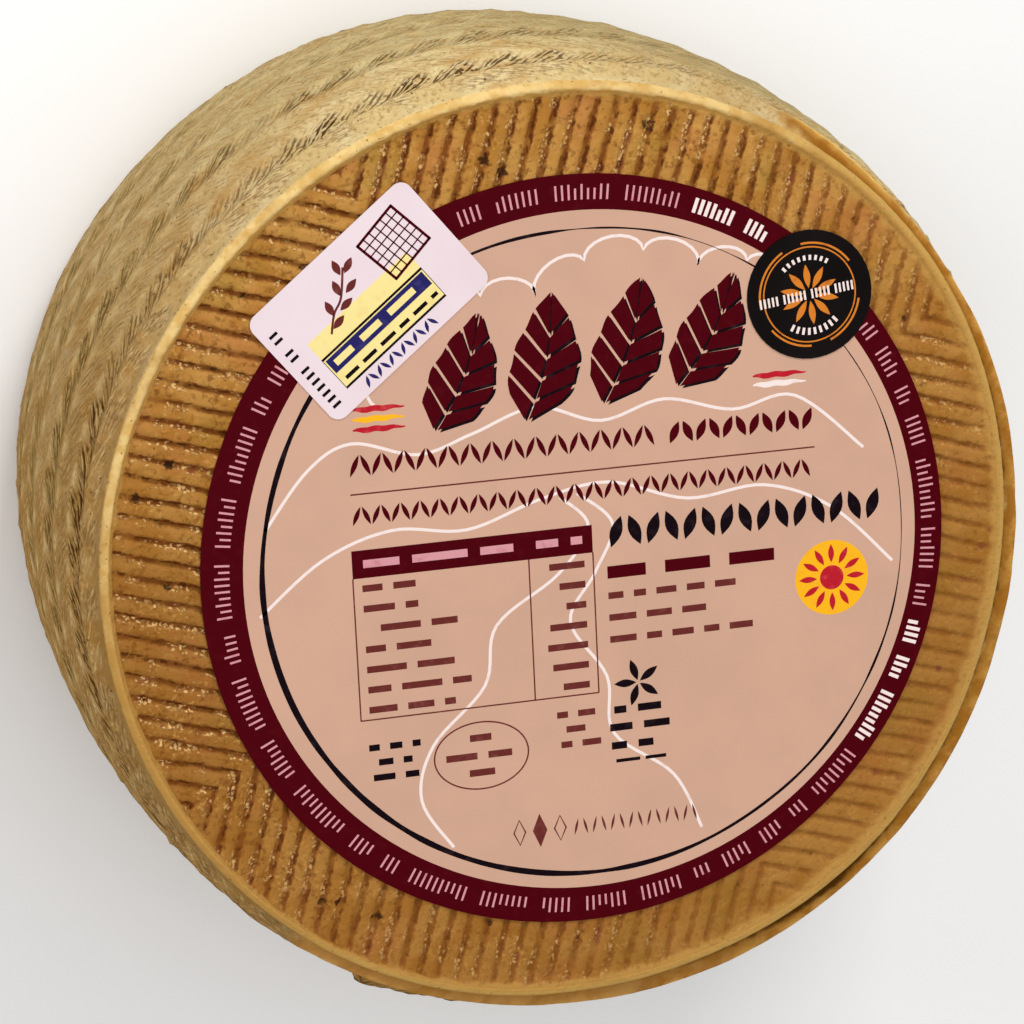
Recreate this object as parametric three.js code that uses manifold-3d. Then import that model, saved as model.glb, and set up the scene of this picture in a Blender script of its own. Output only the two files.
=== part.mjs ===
// A whole wheel of hard sheep's milk cheese, lying flat, with a round paper label, a small card and a
// round sticker on its upper face. Millimetres, +Z up, origin at the middle of the underside.
import * as THREE from "three";
import { mergeVertices } from "three/addons/utils/BufferGeometryUtils.js";
import Module from "manifold-3d";

const { clamp, degToRad, lerp, radToDeg, smoothstep } = THREE.MathUtils;

// The wheel's body
const WHEEL_HEIGHT = 98; // from the ridge tops of the lower face to those of the upper face
const RIM_RADIUS = 92.1; // the outer edge of the raised lip
const FLANGE_RADIUS = 96.1; // the shoulder where the mould's lid met its belt
const BELLY_RADIUS = 99; // the barrel side at half height
const BELLY_LEAN = { reach: 0.5, towards: degToRad(62) }; // the belly sits a little off the lips' axis
const COLUMNS = 132; // upright divisions of the side, two for each strand of the belt's weave
const COLUMN_ANGLE = (2 * Math.PI) / COLUMNS;

// The smooth lip round each face, in distances from the face plane
const LIP_FOOT_RADIUS = 88.9;
const LIP_CREST_RADIUS = 90.5;
const LIP_RISE = 0.6;
const LIP_INNER_RISE = 0.4;
const LIP_EDGE_DROP = 0.5;
const LIP_SIDE_DROP = 1.8;
const CREASE_DROP = 3.3;
const FLANGE_DROP = 5.8;

// The crease below the upper lip is deep on one side of the wheel and faint on the other
const CREASE_FAINT = 0.3;
const CREASE_DEEP = 2.1;
const CREASE_MIDDLE = degToRad(-38);
const CREASE_HALF_WIDTH = degToRad(105);
const CREASE_FADE = degToRad(22);

// Slow changes of the flange's reach, the step at the belt's end, and small departures from round
const FLANGE_FLAT = { height: -0.8, at: degToRad(-8), spread: degToRad(40) };
const FLANGE_DIP = { height: -0.85, at: degToRad(33), spread: degToRad(13) };
const FLANGE_SWELL = { height: 0.5, at: degToRad(-80), spread: degToRad(28) };
const BELT_STEP = { height: 1.3, at: degToRad(241.5), spread: degToRad(9) }; // fades only one way
const SLOW_LOBES = [
  { count: 2, height: 0.3, phase: 0.6 },
  { count: 3, height: 0.22, phase: 2.1 },
  { count: 5, height: 0.12, phase: 4.0 },
];

// The imprint of the plaited belt: rows of strands that slant one way and then the other
const BRAID_TOP = 3;
const BRAID_ROW_HEIGHT = 11;
const BRAID_ROWS = 8;
const STRAND_RUN = 0.75; // sideways run of a strand over one row, in strand widths
const STRAND_RELIEF = 0.45; // from a strand's middle to the mean surface
const ROW_EDGE_RELIEF = 0.25; // raised line where two rows meet

// The pressed faces: four quarters of straight grooves, those of neighbours meeting in right angles
const GROOVE_PITCH = 3.85;
const GROOVE_TOP_WIDTH = 1.5;
const GROOVE_FLOOR_WIDTH = 0.7;
const GROOVE_DEPTH = 1.1;
const GROOVES_IN_HALF_QUARTER = 16;
const GROOVE_TURN = degToRad(-17);
const GROOVE_END_RADIUS = 88.3;
const GROOVE_END_SLOPE = 1;
const GROOVE_END_SIDES = 64;
const CUT_CLEARANCE = 0.3; // how far a channel reaches above the face that it opens
const CUT_MARGIN = 1; // how far the disc that ends the channels reaches past them

// The papers on the upper face
const LABEL = { radius: 75.7, thickness: 0.25, x: 1.5, y: -0.7, sides: 96 };
const STICKER = { radius: 12.9, thickness: 0.25, x: 50.6, y: 47, sides: 48 };
const CARD = {
  length: 41,
  width: 27,
  corner: 2.4,
  cornerSteps: 5,
  thickness: 0.25,
  x: -37.9,
  y: 54,
  turn: degToRad(38.5),
};

// The colours and how dull each one is
const RIND = { color: 0xb2834a, roughness: 0.6 };
const LABEL_PAPER = { color: 0xd4aa92, roughness: 0.45 };
const STICKER_PAPER = { color: 0x14110f, roughness: 0.4 };
const CARD_PAPER = { color: 0xf2e6ea, roughness: 0.4 };

const wasm = await Module();
wasm.setup();

/** A geometry with only positions and shared vertices, as a solid that can be joined and cut. */
function toSolid(geometry) {
  const bare = geometry.clone();
  bare.deleteAttribute("normal");
  bare.deleteAttribute("uv");
  const merged = mergeVertices(bare, 1e-4);
  return new wasm.Manifold(
    new wasm.Mesh({
      numProp: 3,
      vertProperties: merged.attributes.position.array,
      triVerts: new Uint32Array(merged.index.array),
    }),
  );
}

/** The geometry of a solid. */
function toGeometry(solid) {
  const mesh = solid.getMesh();
  const geometry = new THREE.BufferGeometry();
  geometry.setAttribute("position", new THREE.BufferAttribute(mesh.vertProperties, 3));
  geometry.setIndex(new THREE.BufferAttribute(mesh.triVerts, 1));
  geometry.computeVertexNormals();
  return geometry;
}

/** The shorter way round from one angle to another, in radians. */
function angleBetween(from, to) {
  return Math.atan2(Math.sin(to - from), Math.cos(to - from));
}

/** A smooth swelling of the outline round one direction. */
function swelling(azimuth, { height, at, spread }) {
  const share = angleBetween(at, azimuth) / spread;
  return height * Math.exp(-share * share);
}

/** How far the wheel departs from a true circle in one direction. */
function outOfRound(azimuth) {
  const lobes = SLOW_LOBES.map(({ count, height, phase }) => height * Math.cos(count * azimuth + phase));
  return lobes.reduce((sum, lobe) => sum + lobe, 0);
}

/** The depth of the crease under the upper lip in one direction. */
function creaseDepth(azimuth) {
  const away = Math.abs(angleBetween(CREASE_MIDDLE, azimuth));
  const share = smoothstep(away, CREASE_HALF_WIDTH - CREASE_FADE, CREASE_HALF_WIDTH);
  return lerp(CREASE_DEEP, CREASE_FAINT, share);
}

/** The reach of the flange in one direction. */
function flangeRadius(azimuth) {
  const changes = [FLANGE_FLAT, FLANGE_DIP, FLANGE_SWELL].map((change) => swelling(azimuth, change));
  return changes.reduce((sum, change) => sum + change, FLANGE_RADIUS);
}

/** The barrel side's radius at a depth below the upper face, without its imprint. */
function sideRadius(azimuth, depth) {
  const half = WHEEL_HEIGHT / 2 - FLANGE_DROP;
  const share = (depth - WHEEL_HEIGHT / 2) / half;
  const belly = BELLY_RADIUS + BELLY_LEAN.reach * Math.cos(azimuth - BELLY_LEAN.towards);
  const step = angleBetween(BELT_STEP.at, azimuth) > 0 ? swelling(azimuth, BELT_STEP) : 0;
  return lerp(belly, flangeRadius(azimuth), share * share) + step;
}

/** The sideways run of the strands at a depth, as an angle: it zigzags from row to row. */
function strandRun(depth) {
  const rows = clamp((depth - BRAID_TOP) / BRAID_ROW_HEIGHT, 0, BRAID_ROWS);
  const zigzag = Math.abs((rows % 2) - 1);
  return zigzag * STRAND_RUN * 2 * COLUMN_ANGLE;
}

/** The imprint's height over the mean surface, for one column at one depth. */
function braidRelief(column, depth) {
  const rows = (depth - BRAID_TOP) / BRAID_ROW_HEIGHT;
  const fromEdge = Math.abs(rows - Math.round(rows)) * 2;
  const strand = column % 2 === 0 ? STRAND_RELIEF : -STRAND_RELIEF;
  return strand * fromEdge + ROW_EDGE_RELIEF * (1 - fromEdge);
}

/** Radius and distance from the face plane of each ring of a rim, from the lip's foot to the flange. */
function rimRings(azimuth, crease) {
  const flange = flangeRadius(azimuth);
  const slope = (RIM_RADIUS + flange) / 2;
  return [
    [LIP_FOOT_RADIUS, 0],
    [LIP_CREST_RADIUS - LIP_RISE, -LIP_INNER_RISE],
    [LIP_CREST_RADIUS, -LIP_RISE],
    [RIM_RADIUS, LIP_EDGE_DROP],
    [RIM_RADIUS + LIP_INNER_RISE, LIP_SIDE_DROP],
    [slope - crease, CREASE_DROP],
    [flange - crease / 4, (CREASE_DROP + FLANGE_DROP) / 2],
    [flange, FLANGE_DROP],
  ];
}

/** One column of the body's grid from the upper face's edge down to the lower face's edge. */
function bodyColumn(column) {
  const plain = column * COLUMN_ANGLE;
  const points = [];
  const add = (azimuth, radius, z) =>
    points.push(new THREE.Vector3(radius * Math.cos(azimuth), radius * Math.sin(azimuth), z));
  for (const [radius, drop] of rimRings(plain, creaseDepth(plain))) {
    const azimuth = plain + strandRun(drop);
    add(azimuth, radius + outOfRound(azimuth), WHEEL_HEIGHT - drop);
  }
  const firstDepth = BRAID_TOP + BRAID_ROW_HEIGHT / 2;
  for (let step = 0; step < 2 * BRAID_ROWS - 1; step += 1) {
    const depth = firstDepth + (step * BRAID_ROW_HEIGHT) / 2;
    const azimuth = plain + strandRun(depth);
    const radius = sideRadius(azimuth, depth) + outOfRound(azimuth) + braidRelief(column, depth);
    add(azimuth, radius, WHEEL_HEIGHT - depth);
  }
  for (const [radius, drop] of rimRings(plain, CREASE_FAINT).reverse()) {
    const azimuth = plain + strandRun(WHEEL_HEIGHT - drop);
    const rested = Math.max(drop, 0);
    add(azimuth, radius + outOfRound(azimuth), rested);
  }
  return points;
}

/** The wheel before its grooves: a grid of columns closed by a flat face at each end. */
function bodyGeometry() {
  const columns = Array.from({ length: COLUMNS }, (_, column) => bodyColumn(column));
  const rings = columns[0].length;
  const positions = columns.flat().flatMap((point) => point.toArray());
  const index = [];
  for (let column = 0; column < COLUMNS; column += 1) {
    const here = column * rings;
    const next = ((column + 1) % COLUMNS) * rings;
    for (let ring = 0; ring < rings - 1; ring += 1) {
      index.push(here + ring, here + ring + 1, next + ring);
      index.push(next + ring, here + ring + 1, next + ring + 1);
    }
  }
  const upperMiddle = positions.length / 3;
  positions.push(0, 0, WHEEL_HEIGHT, 0, 0, 0);
  for (let column = 0; column < COLUMNS; column += 1) {
    const here = column * rings;
    const next = ((column + 1) % COLUMNS) * rings;
    index.push(upperMiddle, here, next);
    index.push(upperMiddle + 1, next + rings - 1, here + rings - 1);
  }
  const geometry = new THREE.BufferGeometry();
  geometry.setAttribute("position", new THREE.Float32BufferAttribute(positions, 3));
  geometry.setIndex(index);
  return geometry;
}

/** A straight-sided channel with one right-angled bend, both arms running outwards from its corner. */
function channelGeometry(corner, armX, armY) {
  const over = CUT_CLEARANCE;
  const flare = ((GROOVE_TOP_WIDTH - GROOVE_FLOOR_WIDTH) * over) / GROOVE_DEPTH / 2;
  const section = [
    [GROOVE_TOP_WIDTH / 2 + flare, over],
    [-GROOVE_TOP_WIDTH / 2 - flare, over],
    [-GROOVE_FLOOR_WIDTH / 2, -GROOVE_DEPTH],
    [GROOVE_FLOOR_WIDTH / 2, -GROOVE_DEPTH],
  ];
  const stations = [
    section.map(([offset, z]) => [armX, corner.y + Math.sign(corner.y) * offset, z]),
    section.map(([offset, z]) => [
      corner.x + Math.sign(corner.x) * offset,
      corner.y + Math.sign(corner.y) * offset,
      z,
    ]),
    section.map(([offset, z]) => [corner.x + Math.sign(corner.x) * offset, armY, z]),
  ];
  const sides = section.length;
  const index = [];
  for (let station = 0; station < stations.length - 1; station += 1) {
    for (let side = 0; side < sides; side += 1) {
      const a = station * sides + side;
      const b = station * sides + ((side + 1) % sides);
      index.push(a, b, a + sides, b, b + sides, a + sides);
    }
  }
  const last = (stations.length - 1) * sides;
  index.push(0, 2, 1, 0, 3, 2);
  index.push(last, last + 1, last + 2, last, last + 2, last + 3);
  const turnsInside = Math.sign(corner.x) * Math.sign(corner.y) > 0;
  const geometry = new THREE.BufferGeometry();
  geometry.setAttribute("position", new THREE.Float32BufferAttribute(stations.flat(2), 3));
  geometry.setIndex(turnsInside ? index.reverse() : index);
  return geometry;
}

/** All grooves of one face as cutters, about the face plane z = 0 and opening upwards. */
function grooveCutter() {
  const reach = GROOVE_END_RADIUS + CUT_MARGIN;
  let cutter = null;
  for (const signX of [1, -1]) {
    for (const signY of [1, -1]) {
      for (let step = 0; step < GROOVES_IN_HALF_QUARTER; step += 1) {
        const place = (step + 0.5) * GROOVE_PITCH;
        const corner = new THREE.Vector2(signX * place, signY * place);
        const channel = toSolid(channelGeometry(corner, signX * reach, signY * reach));
        cutter = cutter ? cutter.add(channel) : channel;
      }
    }
  }
  const floorRadius = GROOVE_END_RADIUS - GROOVE_END_SLOPE;
  const end = new THREE.LatheGeometry(
    [
      new THREE.Vector2(0, -GROOVE_DEPTH - CUT_MARGIN),
      new THREE.Vector2(floorRadius, -GROOVE_DEPTH - CUT_MARGIN),
      new THREE.Vector2(floorRadius, -GROOVE_DEPTH),
      new THREE.Vector2(GROOVE_END_RADIUS, 0),
      new THREE.Vector2(GROOVE_END_RADIUS, CUT_MARGIN),
      new THREE.Vector2(0, CUT_MARGIN),
    ],
    GROOVE_END_SIDES,
  );
  end.rotateX(Math.PI / 2);
  return cutter.intersect(toSolid(end)).rotate([0, 0, radToDeg(GROOVE_TURN)]);
}

/** The whole wheel: the body with the grooves of both faces cut. */
function wheelGeometry() {
  const cutter = grooveCutter();
  const upper = cutter.translate([0, 0, WHEEL_HEIGHT]);
  const lower = cutter.rotate([180, 0, 0]);
  return toGeometry(toSolid(bodyGeometry()).subtract(upper).subtract(lower));
}

/** A round flat paper lying on the plane z = 0. */
function discGeometry({ radius, thickness, sides }) {
  return new THREE.CylinderGeometry(radius, radius, thickness, sides)
    .rotateX(Math.PI / 2)
    .translate(0, 0, thickness / 2);
}

/** A flat card with rounded corners lying on the plane z = 0. */
function cardGeometry({ length, width, corner, cornerSteps, thickness }) {
  const x = length / 2 - corner;
  const y = width / 2 - corner;
  const outline = new THREE.Shape();
  outline.absarc(x, y, corner, 0, Math.PI / 2);
  outline.absarc(-x, y, corner, Math.PI / 2, Math.PI);
  outline.absarc(-x, -y, corner, Math.PI, 1.5 * Math.PI);
  outline.absarc(x, -y, corner, 1.5 * Math.PI, 2 * Math.PI);
  return new THREE.ExtrudeGeometry(outline, {
    depth: thickness,
    bevelEnabled: false,
    curveSegments: cornerSteps,
  });
}

/** A named mesh with a plain dull finish. */
function piece(name, geometry, { color, roughness }) {
  const material = new THREE.MeshStandardMaterial({ color, roughness, metalness: 0 });
  const mesh = new THREE.Mesh(geometry, material);
  mesh.name = name;
  return mesh;
}

const wheel = piece("wheel", wheelGeometry(), RIND);

// The papers lie on the ridge tops, the card and the sticker over the label's edge
const label = piece("round_label", discGeometry(LABEL), LABEL_PAPER);
label.position.set(LABEL.x, LABEL.y, WHEEL_HEIGHT);

const sticker = piece("round_sticker", discGeometry(STICKER), STICKER_PAPER);
sticker.position.set(STICKER.x, STICKER.y, WHEEL_HEIGHT + LABEL.thickness);

const card = piece("corner_card", cardGeometry(CARD), CARD_PAPER);
card.position.set(CARD.x, CARD.y, WHEEL_HEIGHT + LABEL.thickness);
card.rotation.z = CARD.turn;

// The lips' axis is moved so that the origin is the middle of the whole wheel's box
const onLipAxis = new THREE.Group();
onLipAxis.add(wheel, label, sticker, card);
const middle = new THREE.Box3().setFromObject(wheel, true).getCenter(new THREE.Vector3());
onLipAxis.position.set(-middle.x, -middle.y, 0);

const cheese = new THREE.Group();
cheese.add(onLipAxis);

export default cheese;
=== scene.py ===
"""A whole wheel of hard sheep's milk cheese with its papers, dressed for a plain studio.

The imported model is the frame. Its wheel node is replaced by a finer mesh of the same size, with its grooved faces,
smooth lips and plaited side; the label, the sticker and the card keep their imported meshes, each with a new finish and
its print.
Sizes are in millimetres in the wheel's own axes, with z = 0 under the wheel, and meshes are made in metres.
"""
import itertools
import logging
import math
import random
from dataclasses import dataclass, field
from enum import Enum
from typing import Callable, Iterable, Sequence

import bpy
import numpy as np
from mathutils import Matrix, Vector


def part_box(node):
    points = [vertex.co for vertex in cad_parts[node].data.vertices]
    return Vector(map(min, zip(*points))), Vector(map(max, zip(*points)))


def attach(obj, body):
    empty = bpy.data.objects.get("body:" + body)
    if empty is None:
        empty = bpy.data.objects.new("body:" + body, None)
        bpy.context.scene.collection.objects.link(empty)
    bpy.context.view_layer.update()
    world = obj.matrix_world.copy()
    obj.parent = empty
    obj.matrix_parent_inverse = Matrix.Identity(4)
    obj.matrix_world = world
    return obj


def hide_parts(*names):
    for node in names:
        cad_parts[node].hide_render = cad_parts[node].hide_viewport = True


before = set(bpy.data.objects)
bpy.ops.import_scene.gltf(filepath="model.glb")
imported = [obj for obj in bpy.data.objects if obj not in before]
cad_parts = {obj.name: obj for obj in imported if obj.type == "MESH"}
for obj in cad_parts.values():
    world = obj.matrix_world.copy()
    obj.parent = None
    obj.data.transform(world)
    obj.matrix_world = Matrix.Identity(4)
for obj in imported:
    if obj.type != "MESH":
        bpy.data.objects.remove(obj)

log = logging.getLogger("cheese")

MM = 0.001
FULL_TURN = 2 * math.pi

Point = tuple[float, float]
Colour = tuple[float, float, float, float]


def seen(red: int, green: int, blue: int) -> Colour:
    """Turns a colour as it looks on a screen into the amounts of light that a shader mixes.

    Args:
        red: Red on the screen, from 0 to 255.
        green: Green on the screen.
        blue: Blue on the screen.

    Returns:
        The same colour in linear light, with full cover.
    """
    levels = [value / 255 for value in (red, green, blue)]
    light = [level / 12.92 if level <= 0.04045 else ((level + 0.055) / 1.055) ** 2.4 for level in levels]
    return (light[0], light[1], light[2], 1.0)


def eased(values: np.ndarray, low: float, high: float) -> np.ndarray:
    """Rises smoothly from 0 to 1 while the values go from low to high."""
    share = np.clip((values - low) / (high - low), 0.0, 1.0)
    return share * share * (3 - 2 * share)


@dataclass(frozen=True)
class Unevenness:
    """Smooth seeded variation through space, from -1 to 1.

    Attributes:
        seed: Which of the endless variations this is.
        size: The distance over which it changes, in millimetres.
    """

    seed: int
    size: float

    def corner(self, cells: np.ndarray) -> np.ndarray:
        """One fixed number from -1 to 1 for each whole-numbered corner of space."""
        mixed = cells[..., 0] * 73856093 ^ cells[..., 1] * 19349663 ^ cells[..., 2] * 83492791
        mixed = (mixed ^ (self.seed * 40503 + 17)) & 0xFFFFFFFF
        mixed = ((mixed ^ (mixed >> 15)) * 0x2C1B3C6D) & 0xFFFFFFFF
        mixed = ((mixed ^ (mixed >> 12)) * 0x297A2D39) & 0xFFFFFFFF
        return (mixed ^ (mixed >> 15)) / 0x7FFFFFFF - 1.0

    def at(self, places: np.ndarray) -> np.ndarray:
        """Reads the variation.

        Args:
            places: Points in millimetres, the last axis holding x, y and z.

        Returns:
            One number for each point.
        """
        scaled = places / self.size
        cells = np.floor(scaled).astype(np.int64)
        share = scaled - cells
        share = share * share * (3 - 2 * share)
        total = np.zeros(places.shape[:-1])
        for step in itertools.product((0, 1), repeat=3):
            weight = np.prod(np.where(np.array(step) == 1, share, 1 - share), axis=-1)
            total += weight * self.corner(cells + np.array(step))
        return total


class Recipe:
    """Builds the shader of one material, step by step."""

    def __init__(self, name: str) -> None:
        """Starts a material that has only its shader and its output."""
        self.material = bpy.data.materials.new(name)
        self.material.use_nodes = True
        self.tree = self.material.node_tree
        self.shader = self.tree.nodes["Principled BSDF"]

    def node(self, kind: str, settings: dict | None = None, inputs: dict | None = None) -> bpy.types.Node:
        """Adds one node.

        Args:
            kind: The node's Blender type.
            settings: Its properties by name.
            inputs: Its inputs by name or number, each a value or another node's output.

        Returns:
            The new node.
        """
        made = self.tree.nodes.new(kind)
        for key, value in (settings or {}).items():
            setattr(made, key, value)
        for key, value in (inputs or {}).items():
            if isinstance(value, bpy.types.NodeSocket):
                self.tree.links.new(value, made.inputs[key])
            else:
                made.inputs[key].default_value = value
        return made

    def measure(self, name: str) -> bpy.types.NodeSocket:
        """Reads a measure that the mesh carries at each of its points."""
        return self.node("ShaderNodeAttribute", {"attribute_name": name}).outputs["Fac"]

    def place(self) -> bpy.types.NodeSocket:
        """The point's place on the object, in metres."""
        return self.node("ShaderNodeTexCoord").outputs["Object"]

    def along(self, name: str, across: float, down: float, turn: float = 0.0) -> bpy.types.NodeSocket:
        """A named pair of surface coordinates, turned if wanted and then stretched by one factor each way."""
        pair = self.node("ShaderNodeUVMap", {"uv_map": name}).outputs["UV"]
        if turn:
            turned = self.node("ShaderNodeVectorRotate", {"rotation_type": "Z_AXIS"}, {"Vector": pair, "Angle": turn})
            pair = turned.outputs["Vector"]
        stretch = {0: pair, 1: (across, down, 1.0)}
        return self.node("ShaderNodeVectorMath", {"operation": "MULTIPLY"}, stretch).outputs[0]

    def grain(self, size: float, detail: float = 2.0, where: bpy.types.NodeSocket | None = None) -> bpy.types.NodeSocket:
        """Cloudy variation about 0.5.

        Args:
            size: The size of its patches, in millimetres, or in the given coordinates' own unit.
            detail: How many finer layers it has.
            where: The coordinates to read it by, the place on the object unless given.

        Returns:
            The variation's socket.
        """
        scale = 1.0 / size if where else 1.0 / (size * MM)
        inputs = {"Vector": where or self.place(), "Scale": scale, "Detail": detail}
        return self.node("ShaderNodeTexNoise", None, inputs).outputs["Fac"]

    def kernels(self, size: float, kept: float) -> bpy.types.NodeSocket:
        """Rounded grains of uneven size, close together.

        Args:
            size: The distance from one to the next, in millimetres.
            kept: Which share of them is left out.

        Returns:
            How much of a grain is at each point.
        """
        cells = self.node("ShaderNodeTexVoronoi", None, {"Vector": self.place(), "Scale": 1.0 / (size * MM)})
        own = self.node("ShaderNodeSeparateColor", None, {"Color": cells.outputs["Color"]}).outputs["Red"]
        near = self.heap((1.0, cells.outputs["Distance"]), (1.5, self.grain(0.55, 3)), (-0.3, own))
        return self.product(self.step(near, 1.2, 0.85), self.step(own, kept, kept + 0.3))

    def step(self, value: bpy.types.NodeSocket, low: float, high: float) -> bpy.types.NodeSocket:
        """Rises smoothly from 0 to 1 while a value goes from low to high, or falls if low is above high."""
        ends = {"Value": value, "From Min": low, "From Max": high}
        return self.node("ShaderNodeMapRange", {"interpolation_type": "SMOOTHSTEP"}, ends).outputs["Result"]

    def math(self, operation: str, first: object, second: object) -> bpy.types.NodeSocket:
        """Works out one sum of two numbers or sockets."""
        return self.node("ShaderNodeMath", {"operation": operation}, {0: first, 1: second}).outputs[0]

    def product(self, *values: object) -> bpy.types.NodeSocket:
        """Multiplies any number of sockets and numbers."""
        total = values[0]
        for value in values[1:]:
            total = self.math("MULTIPLY", total, value)
        return total

    def heap(self, *layers: tuple[float, bpy.types.NodeSocket]) -> bpy.types.NodeSocket:
        """Adds up heights, each a depth in millimetres and a share from 0 to 1."""
        total = self.math("MULTIPLY", layers[0][1], layers[0][0])
        for depth, share in layers[1:]:
            total = self.node("ShaderNodeMath", {"operation": "MULTIPLY_ADD"}, {0: share, 1: depth, 2: total}).outputs[0]
        return total

    def blend(self, share: object, under: object, over: object) -> bpy.types.NodeSocket:
        """Covers one colour with another by a share from 0 to 1."""
        return self.node("ShaderNodeMix", {"data_type": "RGBA"}, {0: share, 6: under, 7: over}).outputs[2]

    def relief(self, height: bpy.types.NodeSocket) -> bpy.types.NodeSocket:
        """Makes fine relief for the shading from a height in millimetres."""
        inputs = {"Height": height, "Distance": MM, "Strength": 1.0}
        return self.node("ShaderNodeBump", None, inputs).outputs["Normal"]

    def finish(self, colour: object, roughness: object, normal: object = None, **values: object) -> bpy.types.Material:
        """Joins the last steps to the shader.

        Args:
            colour: The surface colour.
            roughness: How dull the surface is.
            normal: The relief, if it has any.
            **values: Other inputs of the shader, by name with underscores for spaces.

        Returns:
            The material.
        """
        wanted = {"Base Color": colour, "Roughness": roughness}
        wanted.update({key.replace("_", " "): value for key, value in values.items()})
        if normal is not None:
            wanted["Normal"] = normal
        for key, value in wanted.items():
            if isinstance(value, bpy.types.NodeSocket):
                self.tree.links.new(value, self.shader.inputs[key])
            else:
                self.shader.inputs[key].default_value = value
        return self.material


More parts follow.
